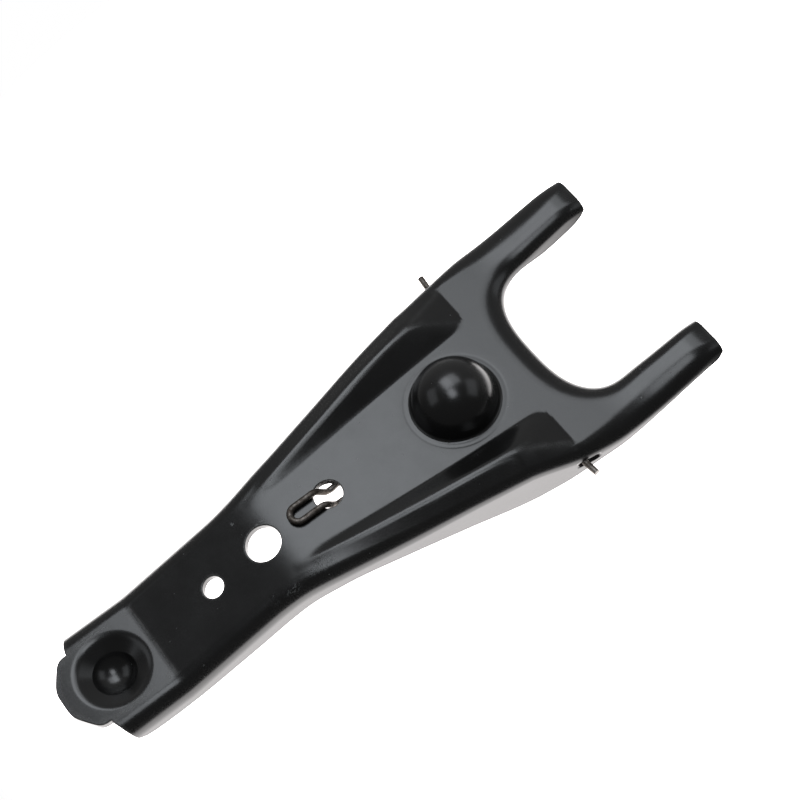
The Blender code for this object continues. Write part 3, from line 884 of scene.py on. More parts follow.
    def __post_init__(self) -> None:
        """Works out the sizes that follow from others."""
        self.cup_x = self.notch_x + self.cup_setback
        self.pad_x = self.cup_x + self.cup_rim_r + self.pad_land
        self.pad_z = (self.pad_x - self.bend_x) * math.tan(self.handle_slope)
        self.front_z = self.rib_crest_z.at(self.rib_end_x)
        rib_width = self.rib_crest_y.at(self.rib_end_x) - self.rib_foot.at(self.rib_end_x)
        self.front_rise = self.front_z / rib_width
        self.fillet_r = math.sqrt((self.dome_r + self.dome_fillet) ** 2 - self.dome_fillet ** 2)
        self.fillet_turn = math.atan2(self.fillet_r, self.dome_fillet)
        self.cup_foot_r = self.cup_lip_place - self.cup_lip_r * math.sin(self.cup_slope)
        wall_drop = (self.cup_rim_r - self.cup_foot_r) * math.tan(self.cup_slope)
        self.lip_z = -wall_drop - self.cup_lip_r * math.cos(self.cup_slope)
        self.cup_mouth = math.asin(self.cup_lip_place / (self.cup_ball_r + self.cup_lip_r))
        self.ball_z = self.lip_z + (self.cup_ball_r + self.cup_lip_r) * math.cos(self.cup_mouth)

    def web_height(self, x: float) -> float:
        """Height of the plain web: level, bent down along the handle, bent up along the arms.

        Args:
            x: Place along the fork.

        Returns:
            The height in the press frame.
        """
        handle = soft_max((x - self.bend_x) * math.tan(self.handle_slope), self.pad_z, self.pad_blend)
        if x < self.rise_start_x:
            return soft_min(0.0, handle, self.bend_blend)
        length = self.rise_end_x - self.rise_start_x
        if x < self.rise_end_x:
            return self.rise_slope * (x - self.rise_start_x) ** 2 / (2 * length)
        middle = (self.rise_start_x + self.rise_end_x) / 2
        rise = self.rise_slope * (x - middle)
        fall = self.rise_slope * (self.tip_crest_x - middle) - self.tip_fall * (x - self.tip_crest_x)
        return soft_min(rise, fall, self.tip_blend)

    def turn_end(self, top: float, foot: float, radius: float, steepest: float) -> float:
        """Angle at which a bend leaves off for its flange.

        Args:
            top: Height at which the bend would start level.
            foot: Height of the flange's lower edge.
            radius: Radius of the bend.
            steepest: Steepest angle of the flange in degrees.

        Returns:
            The angle from level, the steepest one where the flange is deep enough.
        """
        return min(math.acos(max(0.0, 1 - (top - foot - self.edge_land) / radius)), math.radians(steepest))

    def turn_reach(self, top: float, foot: float, radius: float, wider: float, steepest: float) -> float:
        """How far a bend and its flange stand out from the bend's centre.

        Args:
            top: Height at which the bend would start level.
            foot: Height of the flange's lower edge.
            radius: Radius of the bend downward.
            wider: How much longer its radius is outward.
            steepest: Steepest angle of the flange in degrees.

        Returns:
            The distance.
        """
        end = self.turn_end(top, foot, radius, steepest)
        lean = (radius + wider) * math.cos(end) / (radius * math.sin(end))
        drop = top - radius * (1 - math.cos(end)) - foot
        return (radius + wider) * math.sin(end) + drop * lean

    def front_cap(self, x: float) -> float:
        """Height of the sloping front facet of a rib."""
        return max(self.rib_front_x - x, 0.0) * self.front_z / (self.rib_front_x - self.rib_end_x)

    def crest(self, x: float) -> tuple[float, float]:
        """Outer edge of a rib's top.

        Args:
            x: Place along the fork.

        Returns:
            Its offset from the axis, and its height above the web.
        """
        if x <= self.rib_end_x:
            return self.rib_crest_y.at(x), self.rib_crest_z.at(x)
        share = min((x - self.rib_end_x) / (self.rib_front_x - self.rib_end_x), 1.0)
        y_end = self.rib_crest_y.at(self.rib_end_x)
        return y_end + share * (self.rib_front_y - y_end), self.front_cap(x)

    def shoulder(self, x: float) -> tuple[float, float, float, float]:
        """Bend into the outer flange.

        Args:
            x: Place along the fork.

        Returns:
            Radius, arc centre y, arc centre z above the web, and start angle.
        """
        y_crest, z_crest = self.crest(x)
        radius = self.edge_r.at(x)
        centre_z = self.shoulder_share.at(x) * z_crest - radius
        full = min(x, self.tip_x - self.tip_reach)
        top = self.web_height(full) + centre_z + radius
        centre_y = self.half_width.at(x) - self.turn_reach(top, self.flange_foot.at(full), radius,
                                                           self.edge_reach.at(x), self.edge_lean.at(full))
        if x <= self.rib_toe_x or x >= self.rib_front_x:
            return radius, centre_y, centre_z, 0.0
        dy, dz = y_crest - centre_y, z_crest - centre_z
        start = math.acos(min(radius / math.hypot(dy, dz), 1.0)) - math.atan2(-dy, dz)
        return radius, centre_y, centre_z, max(start, 0.0)

    def crown(self, x: float) -> tuple[float, float, float]:
        """Where the outer bend starts: offset y, height above the web and start angle."""
        radius, centre_y, centre_z, start = self.shoulder(x)
        return centre_y + radius * math.sin(start), centre_z + radius * math.cos(start), start

    def rib_height(self, x: float, y: float) -> float:
        """Height of a side rib above the web.

        Args:
            x: Place along the fork.
            y: Place across it.

        Returns:
            The height.
        """
        if x <= self.rib_toe_x or x >= self.rib_front_x:
            return 0.0
        y_crest, z_crest = self.crest(x)
        foot = self.rib_foot.at(x)
        rise = z_crest / (y_crest - foot) if x <= self.rib_end_x else self.front_rise
        y_crown, z_crown, start = self.crown(x)
        blend = min(self.rib_blend, 0.5 * z_crest)
        inner = soft_min((y - foot) * rise, self.front_cap(x), self.front_blend)
        outer = z_crown + (y_crown - y) * math.tan(start)
        if y > y_crest:
            return soft_min(inner, outer, blend)
        return soft_min(soft_max(inner, 0.0, min(blend, self.foot_blend)), max(outer, 0.0), blend)

    def dome_height(self, reach: float) -> float:
        """Height of the ball seat's dome and of the faint groove round it.

        Args:
            reach: Distance from the dome's middle.

        Returns:
            The height above the web.
        """
        if reach >= self.fillet_r:
            aside = (reach - self.fillet_r - self.groove_out) / self.groove_half
            return -self.groove_depth * math.exp(-aside ** 2)
        if reach <= self.dome_r * math.sin(self.fillet_turn):
            return self.dome_rise * math.sqrt(self.dome_r ** 2 - reach ** 2)
        turn = math.asin(min((self.fillet_r - reach) / self.dome_fillet, 1.0))
        return self.dome_rise * self.dome_fillet * (1 - math.cos(turn))

    def cup_height(self, reach: float) -> float:
        """Height of the push-rod cup.

        Args:
            reach: Distance from the cup's middle.

        Returns:
            The height above the web, at most 0.
        """
        if reach >= self.cup_rim_r + 4:
            return 0.0
        if reach >= self.cup_foot_r:
            return soft_min(0.0, (reach - self.cup_rim_r) * math.tan(self.cup_slope), self.cup_rim_blend)
        if reach >= self.cup_ball_r * math.sin(self.cup_mouth):
            across = (self.cup_lip_place - reach) / self.cup_lip_r
            return self.lip_z + self.cup_lip_r * math.sqrt(max(1 - across * across, 0.0))
        return self.ball_z - math.sqrt(self.cup_ball_r ** 2 - reach ** 2)

    def surface(self, x: float, y: float) -> float:
        """Height of the web's outer face.

        Args:
            x: Place along the fork.
            y: Place across it.

        Returns:
            The height in the press frame.
        """
        height = self.web_height(x) + self.rib_height(x, abs(y))
        height += self.dome_height(math.hypot(x, y))
        return height + self.cup_height(math.hypot(x - self.cup_x, y))

    def slope_normal(self, x: float, y: float, step: float) -> Vector:
        """Upward normal of the web's outer face.

        Args:
            x: Place along the fork.
            y: Place across it.
            step: Half distance over which the slope is taken.

        Returns:
            The unit normal.
        """
        along = self.surface(x + step, y) - self.surface(x - step, y)
        across = self.surface(x, y + step) - self.surface(x, y - step)
        return Vector((-along, -across, 2 * step)).normalized()

    def bend_rows(self, line: list[Bend]) -> tuple[Rows, Rows]:
        """Rows of points over a bend and down its flange.

        Args:
            line: The bend at each station.

        Returns:
            A row of points for each step round the bend and down the wall, and the same of the
            directions in which the wall faces there.
        """
        rows: Rows = [[] for _ in range(self.arc_steps + 1 + self.wall_steps)]
        facing: Rows = [[] for _ in rows]
        for bend in line:
            across = bend.radius + bend.wider
            end = self.turn_end(bend.level + bend.radius, bend.foot, bend.radius, bend.steepest)
            for j in range(len(rows)):
                angle = bend.start + (end - bend.start) * min(j / self.arc_steps, 1.0)
                aside = bend.outward * (math.sin(angle) / across)
                facing[j].append(Vector((aside.x, aside.y, math.cos(angle) / bend.radius)).normalized())
            for j in range(self.arc_steps + 1):
                angle = bend.start + (end - bend.start) * j / self.arc_steps
                plan = bend.centre + bend.outward * across * math.sin(angle)
                rows[j].append(Vector((plan.x, plan.y, bend.level + bend.radius * math.cos(angle))))
            last = rows[self.arc_steps][-1]
            lean = across * math.cos(end) / (bend.radius * math.sin(end))
            for k in range(1, self.wall_steps + 1):
                drop = (last.z - bend.foot) * k / self.wall_steps
                plan = bend.centre + bend.outward * (across * math.sin(end) + drop * lean)
                rows[self.arc_steps + k].append(Vector((plan.x, plan.y, last.z - drop)))
        return rows, facing

    def to_tip(self, start: float) -> list[float]:
        """Stations from a place to the arm's tip, closer where its corners turn."""
        near = [self.tip_x - step for step in self.tip_steps]
        return spread(start, self.tip_x - self.tip_reach, self.station_step) + near

    def trim_tip(self, rows: Rows, stations: list[float]) -> None:
        """Cuts back the lower corner of an arm's tip.

        Args:
            rows: Rows over a bend and down its flange, which are changed.
            stations: Place along the fork of each point in a row.
        """
        for j, row in enumerate(rows):
            lower = max(2 * j / (len(rows) - 1) - 1, 0.0)
            for point, x in zip(row, stations):
                share = max(0.0, 1 - (self.tip_x - x) / self.tip_reach)
                point.x -= share * self.tip_cutback * lower ** 2

    def outer_rows(self) -> tuple[Rows, Rows]:
        """Shapes the outer bend and the outer flange.

        Returns:
            Rows of points over them, and the directions in which the points face.
        """
        xs = spread(self.notch_x, self.rib_front_x, self.station_step) + self.to_tip(self.rib_front_x)[1:]
        wall = [Vector((x, self.half_width.at(x))) for x in xs]
        line = []
        for i, x in enumerate(xs):
            radius, centre_y, centre_z, start = self.shoulder(x)
            step = (wall[min(i + 1, len(xs) - 1)] - wall[max(i - 1, 0)]).normalized()
            outward = Vector((-step.y, step.x)) if x < self.tip_x else Vector((0.0, 1.0))
            reach = self.half_width.at(x) - centre_y
            centre = Vector((x, centre_y + reach)) - outward * reach
            line.append(Bend(centre, outward, self.web_height(x) + centre_z, radius, self.edge_reach.at(x),
                             start, self.flange_foot.at(x), self.edge_lean.at(x)))
        rows, facing = self.bend_rows(line)
        for j, row in enumerate(rows):
            down = min(j / self.arc_steps, 1.0)
            below = max(j - self.arc_steps, 0) / self.wall_steps
            for point, x in zip(row, xs):
                share = max(0.0, 1 - (x - self.notch_x) / self.end_reach)
                point.x += share * (self.end_setback * down + self.end_cutback * below ** 2)
        self.trim_tip(rows, xs)
        rows[0][0].x = self.notch_x
        return rows, facing

    def gap_bend(self, x: float) -> float:
        """How far the gap's bend and flange reach from its wall, at a place along the fork."""
        full = min(x, self.tip_x - self.tip_reach)
        return self.turn_reach(self.web_height(full), self.gap_foot.at(full), self.gap_r,
                               self.gap_reach.at(x), self.gap_lean.at(full))

    def gap_rows(self) -> tuple[Rows, Rows]:
        """Shapes the gap's bend and the inner flange.

        Returns:
            Rows of points over them, and the directions in which the points face.
        """
        plan = [(x, self.gap_half) for x in reversed(self.to_tip(self.gap_straight_x))]
        depth = self.gap_straight_x - self.gap_base_x
        for i in range(1, self.gap_turns + 1):
            angle = math.pi / 2 * i / self.gap_turns
            across = abs(math.cos(angle)) ** (2 / self.gap_power)
            back = abs(math.sin(angle)) ** (2 / self.gap_power)
            y = self.gap_half * across if i < self.gap_turns else 0.0
            plan.append((self.gap_straight_x - depth * back, y))
        line = []
        for i, place in enumerate(plan):
            step = (Vector(plan[min(i + 1, len(plan) - 1)]) - Vector(plan[max(i - 1, 0)])).normalized()
            outward = Vector((-step.y, step.x)) if place[1] > 0 else Vector((1.0, 0.0))
            centre = Vector(place) - outward * self.gap_bend(place[0])
            line.append(Bend(centre, outward, self.web_height(centre.x) - self.gap_r, self.gap_r,
                             self.gap_reach.at(place[0]), 0.0, self.gap_foot.at(place[0]),
                             self.gap_lean.at(place[0])))
        rows, facing = self.bend_rows(line)
        self.trim_tip(rows, [x for x, _ in plan])
        return rows, facing

    def tab_outline(self) -> list[tuple[float, float]]:
        """Plan line of the handle tab.

        Returns:
            Points from the axis round to the notch, with softened corners.
        """
        side_x, end_x = self.notch_x - self.tab_side, self.notch_x - self.tab_length
        corners = [(end_x, 0.0), (end_x, self.tab_end_half - 1.6), (end_x + 0.3, self.tab_end_half),
                   (side_x - 1.7, self.tab_half - 1.9), (side_x, self.tab_half),
                   (self.notch_x, self.tab_half)]
        line = [corners[0]]
        for a, b in zip(corners, corners[1:]):
            steps = spread(0.0, 1.0, 1.4 / math.dist(a, b))[1:]
            line += [(a[0] + (b[0] - a[0]) * t, a[1] + (b[1] - a[1]) * t) for t in steps]
        for _ in range(2):
            inner = [((a[0] + 2 * b[0] + c[0]) / 4, (a[1] + 2 * b[1] + c[1]) / 4)
                     for a, b, c in zip(line, line[1:], line[2:])]
            line = [line[0], *inner, line[-1]]
        return line

    def crease_lines(self) -> list[list[tuple[float, float]]]:
        """Plan lines that the facets follow along every crease of the web.

        Returns:
            Lines beside the rib's foot, crest and front facet, the pad's edge and the arm's crest.
        """
        lines = []
        xs = spread(self.rib_toe_x + 1.5, self.rib_end_x, self.station_step)
        front = spread(self.rib_end_x + 0.8, self.rib_front_x - 1.2, self.station_step)
        for side in self.crease_steps:
            lines.append([(x, self.rib_foot.at(x) + side) for x in xs + front])
            lines.append([(x, self.crest(x)[0] + side) for x in xs + front
                          if self.crest(x)[0] + side < self.crown(x)[0] - 0.5])
            lines.append([(x, self.rib_foot.at(x) + self.front_cap(x) / self.front_rise + side) for x in front
                          if self.front_cap(x) > 0.5])
            lines.append([(self.rib_front_x + 0.6 * side, y)
                          for y in spread(20.5, self.crown(self.rib_front_x)[0] - 0.6, self.station_step)])
            lines.append([(self.pad_x + side, y) for y in spread(0.6, self.crown(self.pad_x)[0] - 0.6, 2.0)])
            inner = self.gap_half + self.gap_bend(self.tip_crest_x + side)
            outer = self.crown(self.tip_crest_x + side)[0]
            lines.append([(self.tip_crest_x + side, y) for y in spread(inner + 0.5, outer - 0.5, 1.2)
                          if outer - inner > 1.4])
        return [line for line in lines if len(line) > 1]

    def hole_ring(self, place: float, reach: float) -> list[tuple[float, float]]:
        """Half ring round a hole, foreshortened where the handle slopes."""
        stretch = math.cos(self.handle_slope) if place < self.bend_x - 10 else 1.0
        return half_ring(place, reach, self.hole_sides, stretch)

    def plan_rings(self) -> list[list[tuple[float, float]]]:
        """Half rings that the facets follow.

        Returns:
            Rings on the dome, in the cup and round the holes.
        """
        dome = [self.dome_r * math.sin(self.fillet_turn * k / 18) for k in range(1, 19)]
        dome += [self.fillet_r - self.dome_fillet * math.sin(self.fillet_turn * (1 - k / 5))
                 for k in range(1, 6)]
        dome += [self.fillet_r + gap for gap in (0.4, 0.75, 1.1, 1.45, 1.9)]
        cup = [self.cup_ball_r * math.sin(self.cup_mouth * k / 9) for k in range(1, 10)]
        cup += spread(self.cup_ball_r * math.sin(self.cup_mouth), self.cup_foot_r, 0.15)[1:]
        cup += spread(self.cup_foot_r, self.cup_rim_r + 2.4, 0.6)[1:]
        rings = [half_ring(0.0, reach, self.dome_sides) for reach in dome]
        rings += [half_ring(self.cup_x, reach, self.cup_sides) for reach in cup]
        for place, diameter in self.holes:
            rings += [self.hole_ring(place, diameter / 2 + gap) for gap in (0.0, 0.9, 1.9)]
        return rings

    def web_plan(self, outer: list[Vector], gap: list[Vector]) -> tuple[list[Vector], list[tuple[int, ...]]]:
        """Triangulates one half of the web in plan.

        Args:
            outer: Row where the outer bend starts.
            gap: Row where the gap's bend starts.

        Returns:
            The plan points and the triangles between them.
        """
        rings = self.plan_rings()
        openings = [self.hole_ring(place, diameter / 2) for place, diameter in self.holes]
        border = [(p.x, p.y) for p in outer]
        border += [(self.tip_x, y) for y in spread(outer[-1].y, gap[0].y, 1.4)[1:-1]]
        border += [(p.x, p.y) for p in gap][:-1]
        ends = {self.notch_x - self.tab_length, gap[-1].x, 0.0, self.cup_x}
        for ring in rings:
            ends.update((ring[0][0], ring[-1][0]))
        ordered = sorted(ends)
        axis = {x for a, b in zip(ordered, ordered[1:]) for x in spread(a, b, self.grid_step)}
        border += [(x, 0.0) for x in sorted(axis, reverse=True)]
        border += self.tab_outline()[1:-1] + [(self.notch_x, y)
                                              for y in spread(self.tab_half, outer[0].y, 1.2)[:-1]]
        points: list[Vector] = []
        edges: list[tuple[int, int]] = []
        for line, closed in [(border, True)] + [(line, False) for line in rings + self.crease_lines()]:
            first = len(points)
            points += [Vector(p) for p in line]
            edges += [(first + i, first + i + 1) for i in range(len(line) - 1)]
            if closed:
                edges.append((first + len(line) - 1, first))
        points += [Vector(p) for p in self.grid_places(border, np.array([p[:] for p in points]))]
        verts, _, faces, _, _, _ = delaunay_2d_cdt(points, edges, [], 0, 1e-4)
        middles = np.array([np.mean([verts[i][:] for i in face], axis=0) for face in faces])
        keep = within(border, middles)
        for opening in openings:
            keep &= ~within(opening, middles)
        kept = [tuple(face) for face, wanted in zip(faces, keep) if wanted]
        return verts, [face if self._is_left(verts, face) else face[::-1] for face in kept]

    @staticmethod
    def _is_left(verts: list[Vector], face: tuple[int, ...]) -> bool:
        """Whether a plan triangle runs counter-clockwise."""
        a, b, c = (verts[i] for i in face[:3])
        return (b - a).cross(c - a) > 0

    def grid_places(self, border: list[tuple[float, float]], taken: np.ndarray) -> list[tuple[float, float]]:
        """Places of a plain grid that fill the web between the lines.

        Args:
            border: Closed outline of the half web.
            taken: Points that are there already.

        Returns:
            The grid's points that stand clear of the others.
        """
        widest = max(value for _, value in self.half_width.stations)
        xs = np.arange(self.notch_x - self.tab_length + 1.0, self.tip_x, self.grid_step)
        ys = np.arange(1.4, widest, self.grid_step)
        grid = np.array([(x + (k % 2) * self.grid_step / 2, y) for k, y in enumerate(ys) for x in xs])
        grid = grid[within(border, grid)]
        clear = []
        for x, y in grid:
            near = np.hypot(taken[:, 0] - x, taken[:, 1] - y).min()
            open_hole = any(math.hypot(x - h, y) < d / 2 for h, d in self.holes)
            if near > 0.55 * self.grid_step and not open_hole:
                clear.append((x, y))
        return clear

    def crease_highlight(self, x: float, y: float) -> float:
        """Painted highlight along the raised creases, kept with the wear.

        Args:
            x: Place along the fork.
            y: Place across it.

        Returns:
            A value from 0 to 1.
        """
        # Painted highlight: lighter paint along the rib crests and the pad's edge, where the light catches
        # them.
        away = math.inf
        if self.rib_toe_x + 6 < x <= self.rib_front_x:
            away = abs(y - self.crest(x)[0])
        wear_and_highlight = self.crest_highlight * math.exp(-(away / self.crest_highlight_half) ** 2)
        if x < self.pad_x + 3 and abs(y) < self.tab_half + 2:
            aside = abs(y - self.crown(self.pad_x)[0] + 0.8) if x < self.pad_x else math.inf
            away = min(abs(x - self.pad_x), aside)
            wear_and_highlight = max(wear_and_highlight, self.pad_highlight * math.exp(-(away / self.pad_highlight_half) ** 2))
        return wear_and_highlight

    def outer_skin(self) -> Skin:
        """Joins the web with its bends and flanges and mirrors them.

        Returns:
            Outer face of the whole pressing.
        """
        (outer, outer_facing), (gap, gap_facing) = self.outer_rows(), self.gap_rows()
        verts, faces = self.web_plan(outer[0], gap[0])
        heights = {(round(p.x, 3), round(p.y, 3)): p.z for p in outer[0] + gap[0]}
        skin = Skin()
        number = {}
        at_key = {}
        for i in sorted({corner for face in faces for corner in face}):
            x, y = verts[i]
            key = (round(x, 3), round(y, 3))
            height = heights.get(key, self.surface(x, y))
            number[i] = skin.add(Vector((x, y, height)), self.slope_normal(x, y, self.near_slope),
                                 self.slope_normal(x, y, self.wall_slope), self.crease_highlight(x, y))
            at_key[key] = number[i]
        skin.faces += [tuple(number[i] for i in face) for face in faces]
        for rows, facing in ((outer, outer_facing), (gap, gap_facing)):
            before = [at_key[(round(p.x, 3), round(p.y, 3))] for p in rows[0]]
            for j in range(1, len(rows)):
                row = []
                for i, place in enumerate(rows[j]):
                    along = rows[j][min(i + 1, len(rows[j]) - 1)] - rows[j][max(i - 1, 0)]
                    down = rows[min(j + 1, len(rows) - 1)][i] - rows[j - 1][i]
                    normal = along.cross(down).normalized()
                    row.append(skin.add(place.copy(), normal, facing[j][i]))
                skin.faces += [(before[i], before[i + 1], row[i + 1], row[i]) for i in range(len(row) - 1)]
                before = row
        skin.mirrored()
        return skin

    def solid(self, skin: Skin) -> tuple[list[Vector], list[Vector], list[float], list[tuple[int, ...]]]:
        """Thickens the outer face and rounds every sheared edge.

        Args:
            skin: The outer face.

        Returns:
            Points, normals, wear with painted highlight, and facets of the closed pressing.
        """
        places, normals, wear_and_highlight = list(skin.places), list(skin.shading), list(skin.wear_and_highlight)
        faces = list(skin.faces)
        count = len(places)
        for place, facing in zip(skin.places, skin.facing):
            places.append(place - facing * self.sheet)
            normals.append(Vector((0.0, 0.0, 0.0)))
            wear_and_highlight.append(0.0)
        faces += [tuple(i + count for i in reversed(face)) for face in skin.faces]
        edges = skin.border()
        after, before = dict(edges), {b: a for a, b in edges}
        turns = [math.radians(a) for a in (30, 60, 90)]
        rings: dict[int, list[int]] = {}
        for i, ahead in after.items():
            normal = skin.facing[i]
            sides = [(skin.places[b] - skin.places[a]).cross(normal).normalized()
                     for a, b in ((before[i], i), (i, ahead))]
            middle = (sides[0] + sides[1]).normalized()
            out = middle / max(middle.dot(sides[0]), 0.7)
            edge, inner = skin.places[i].copy(), places[i + count].copy()
            places[i] = edge - out * self.edge_round
            places[i + count] = inner - out * self.edge_round
            # Worn paint at the sheared rims, with a painted highlight along them. The rounded rim rows below
            # get the same.
            wear_and_highlight[i] = 0.6
            ring = [i]
            for turn, base, way in [(t, edge, 1) for t in turns] + [(t, inner, -1) for t in reversed(turns)]:
                inset = self.edge_round * (1 - math.sin(turn))
                depth = self.edge_round * (1 - math.cos(turn))
                places.append(base - out * inset - normal * way * depth)
                normals.append((middle * math.sin(turn) + normal * way * math.cos(turn)).normalized())
                wear_and_highlight.append(1.0 if turn < 1.5 else 0.5)
                ring.append(len(places) - 1)
            rings[i] = ring + [i + count]
        for a, b in edges:
            for k in range(len(rings[a]) - 1):
                faces.append((rings[a][k], rings[a][k + 1], rings[b][k + 1], rings[b][k]))
        return places, normals, wear_and_highlight, faces

    def slot_cutter(self) -> bpy.types.Object:
        """Makes a flat bar with round ends that pierces both flanges.

        Returns:
            The bar, in the press frame.
        """
        bm = bmesh.new()
        radius, reach = self.slot_height / 2, self.half_width.at(self.slot_x) + 4
        steps = 10
        rings: list[list[bmesh.types.BMVert]] = [[], []]
        for side in (1, -1):
            middle = self.slot_x + side * (self.slot_length / 2 - radius)
            for i in range(steps + 1):
                angle = math.pi * i / steps - side * math.pi / 2
                x, z = middle + radius * math.cos(angle), self.slot_z + radius * math.sin(angle)
                for ring, y in zip(rings, (-reach, reach)):
                    ring.append(bm.verts.new((x, y, z)))
        for ring in rings:
            bm.faces.new(ring)
        for i in range(len(rings[0])):
            bm.faces.new((rings[0][i - 1], rings[0][i], rings[1][i], rings[1][i - 1]))
        bmesh.ops.recalc_face_normals(bm, faces=bm.faces)
        mesh = bpy.data.meshes.new("slot_cutter")
        bm.to_mesh(mesh)
        bm.free()
        return new_object("slot_cutter", mesh)

    def build(self) -> bpy.types.Object:
        """Makes the dressed pressing.

        Returns:
            The finished object.
        """
        places, normals, wear_and_highlight, faces = self.solid(self.outer_skin())
        mesh = bpy.data.meshes.new("pressed_fork")
        mesh.from_pydata([p[:] for p in places], [], faces)
        mesh.validate()
        piece = new_object("pressed_fork", mesh)
        cutter = self.slot_cutter()
        cut = piece.modifiers.new("Slots", "BOOLEAN")
        cut.operation, cut.solver, cut.object = "DIFFERENCE", "EXACT", cutter
        cut_mesh = evaluated_mesh(piece)
        piece.modifiers.clear()
        piece.data = cut_mesh
        bpy.data.objects.remove(cutter)
        self._shade(piece, places, normals, wear_and_highlight)
        dress(piece, BlackPaint().material())
        return piece

    def _shade(self, piece: bpy.types.Object, places: list[Vector], normals: list[Vector],
               wear_and_highlight: list[float]) -> None:
        """Lays the piece at rest and gives each point its own normal and its wear with painted highlight.

        Args:
            piece: The cut pressing, still in the press frame.
            places: Points before the slots were cut.
            normals: Their normals, of no length where the facets give them.
            wear_and_highlight: Their wear, with painted highlight.
        """
        finder = KDTree(len(places))
        for i, place in enumerate(places):
            finder.insert(place, i)
        finder.balance()
        mesh = piece.data
        turn = REST_POSE.to_3x3()
        found, worn_and_highlit = [], []
        for vertex in mesh.vertices:
            _, i, gap = finder.find(vertex.co)
            known = gap < 1e-4
            found.append((turn @ normals[i])[:] if known else (0.0, 0.0, 0.0))
            worn_and_highlit.append(wear_and_highlight[i] if known else 0.0)
        mesh.transform(Matrix.Scale(MM, 4))
        mesh.transform(REST_POSE)
        mesh.shade_smooth()
        mesh.set_sharp_from_angle(angle=SHARP_ANGLE)
        mesh.normals_split_custom_set_from_vertices(found)
        attribute = mesh.attributes.new("wear_and_highlight", "FLOAT", "POINT")
        attribute.data.foreach_set("value", worn_and_highlit)


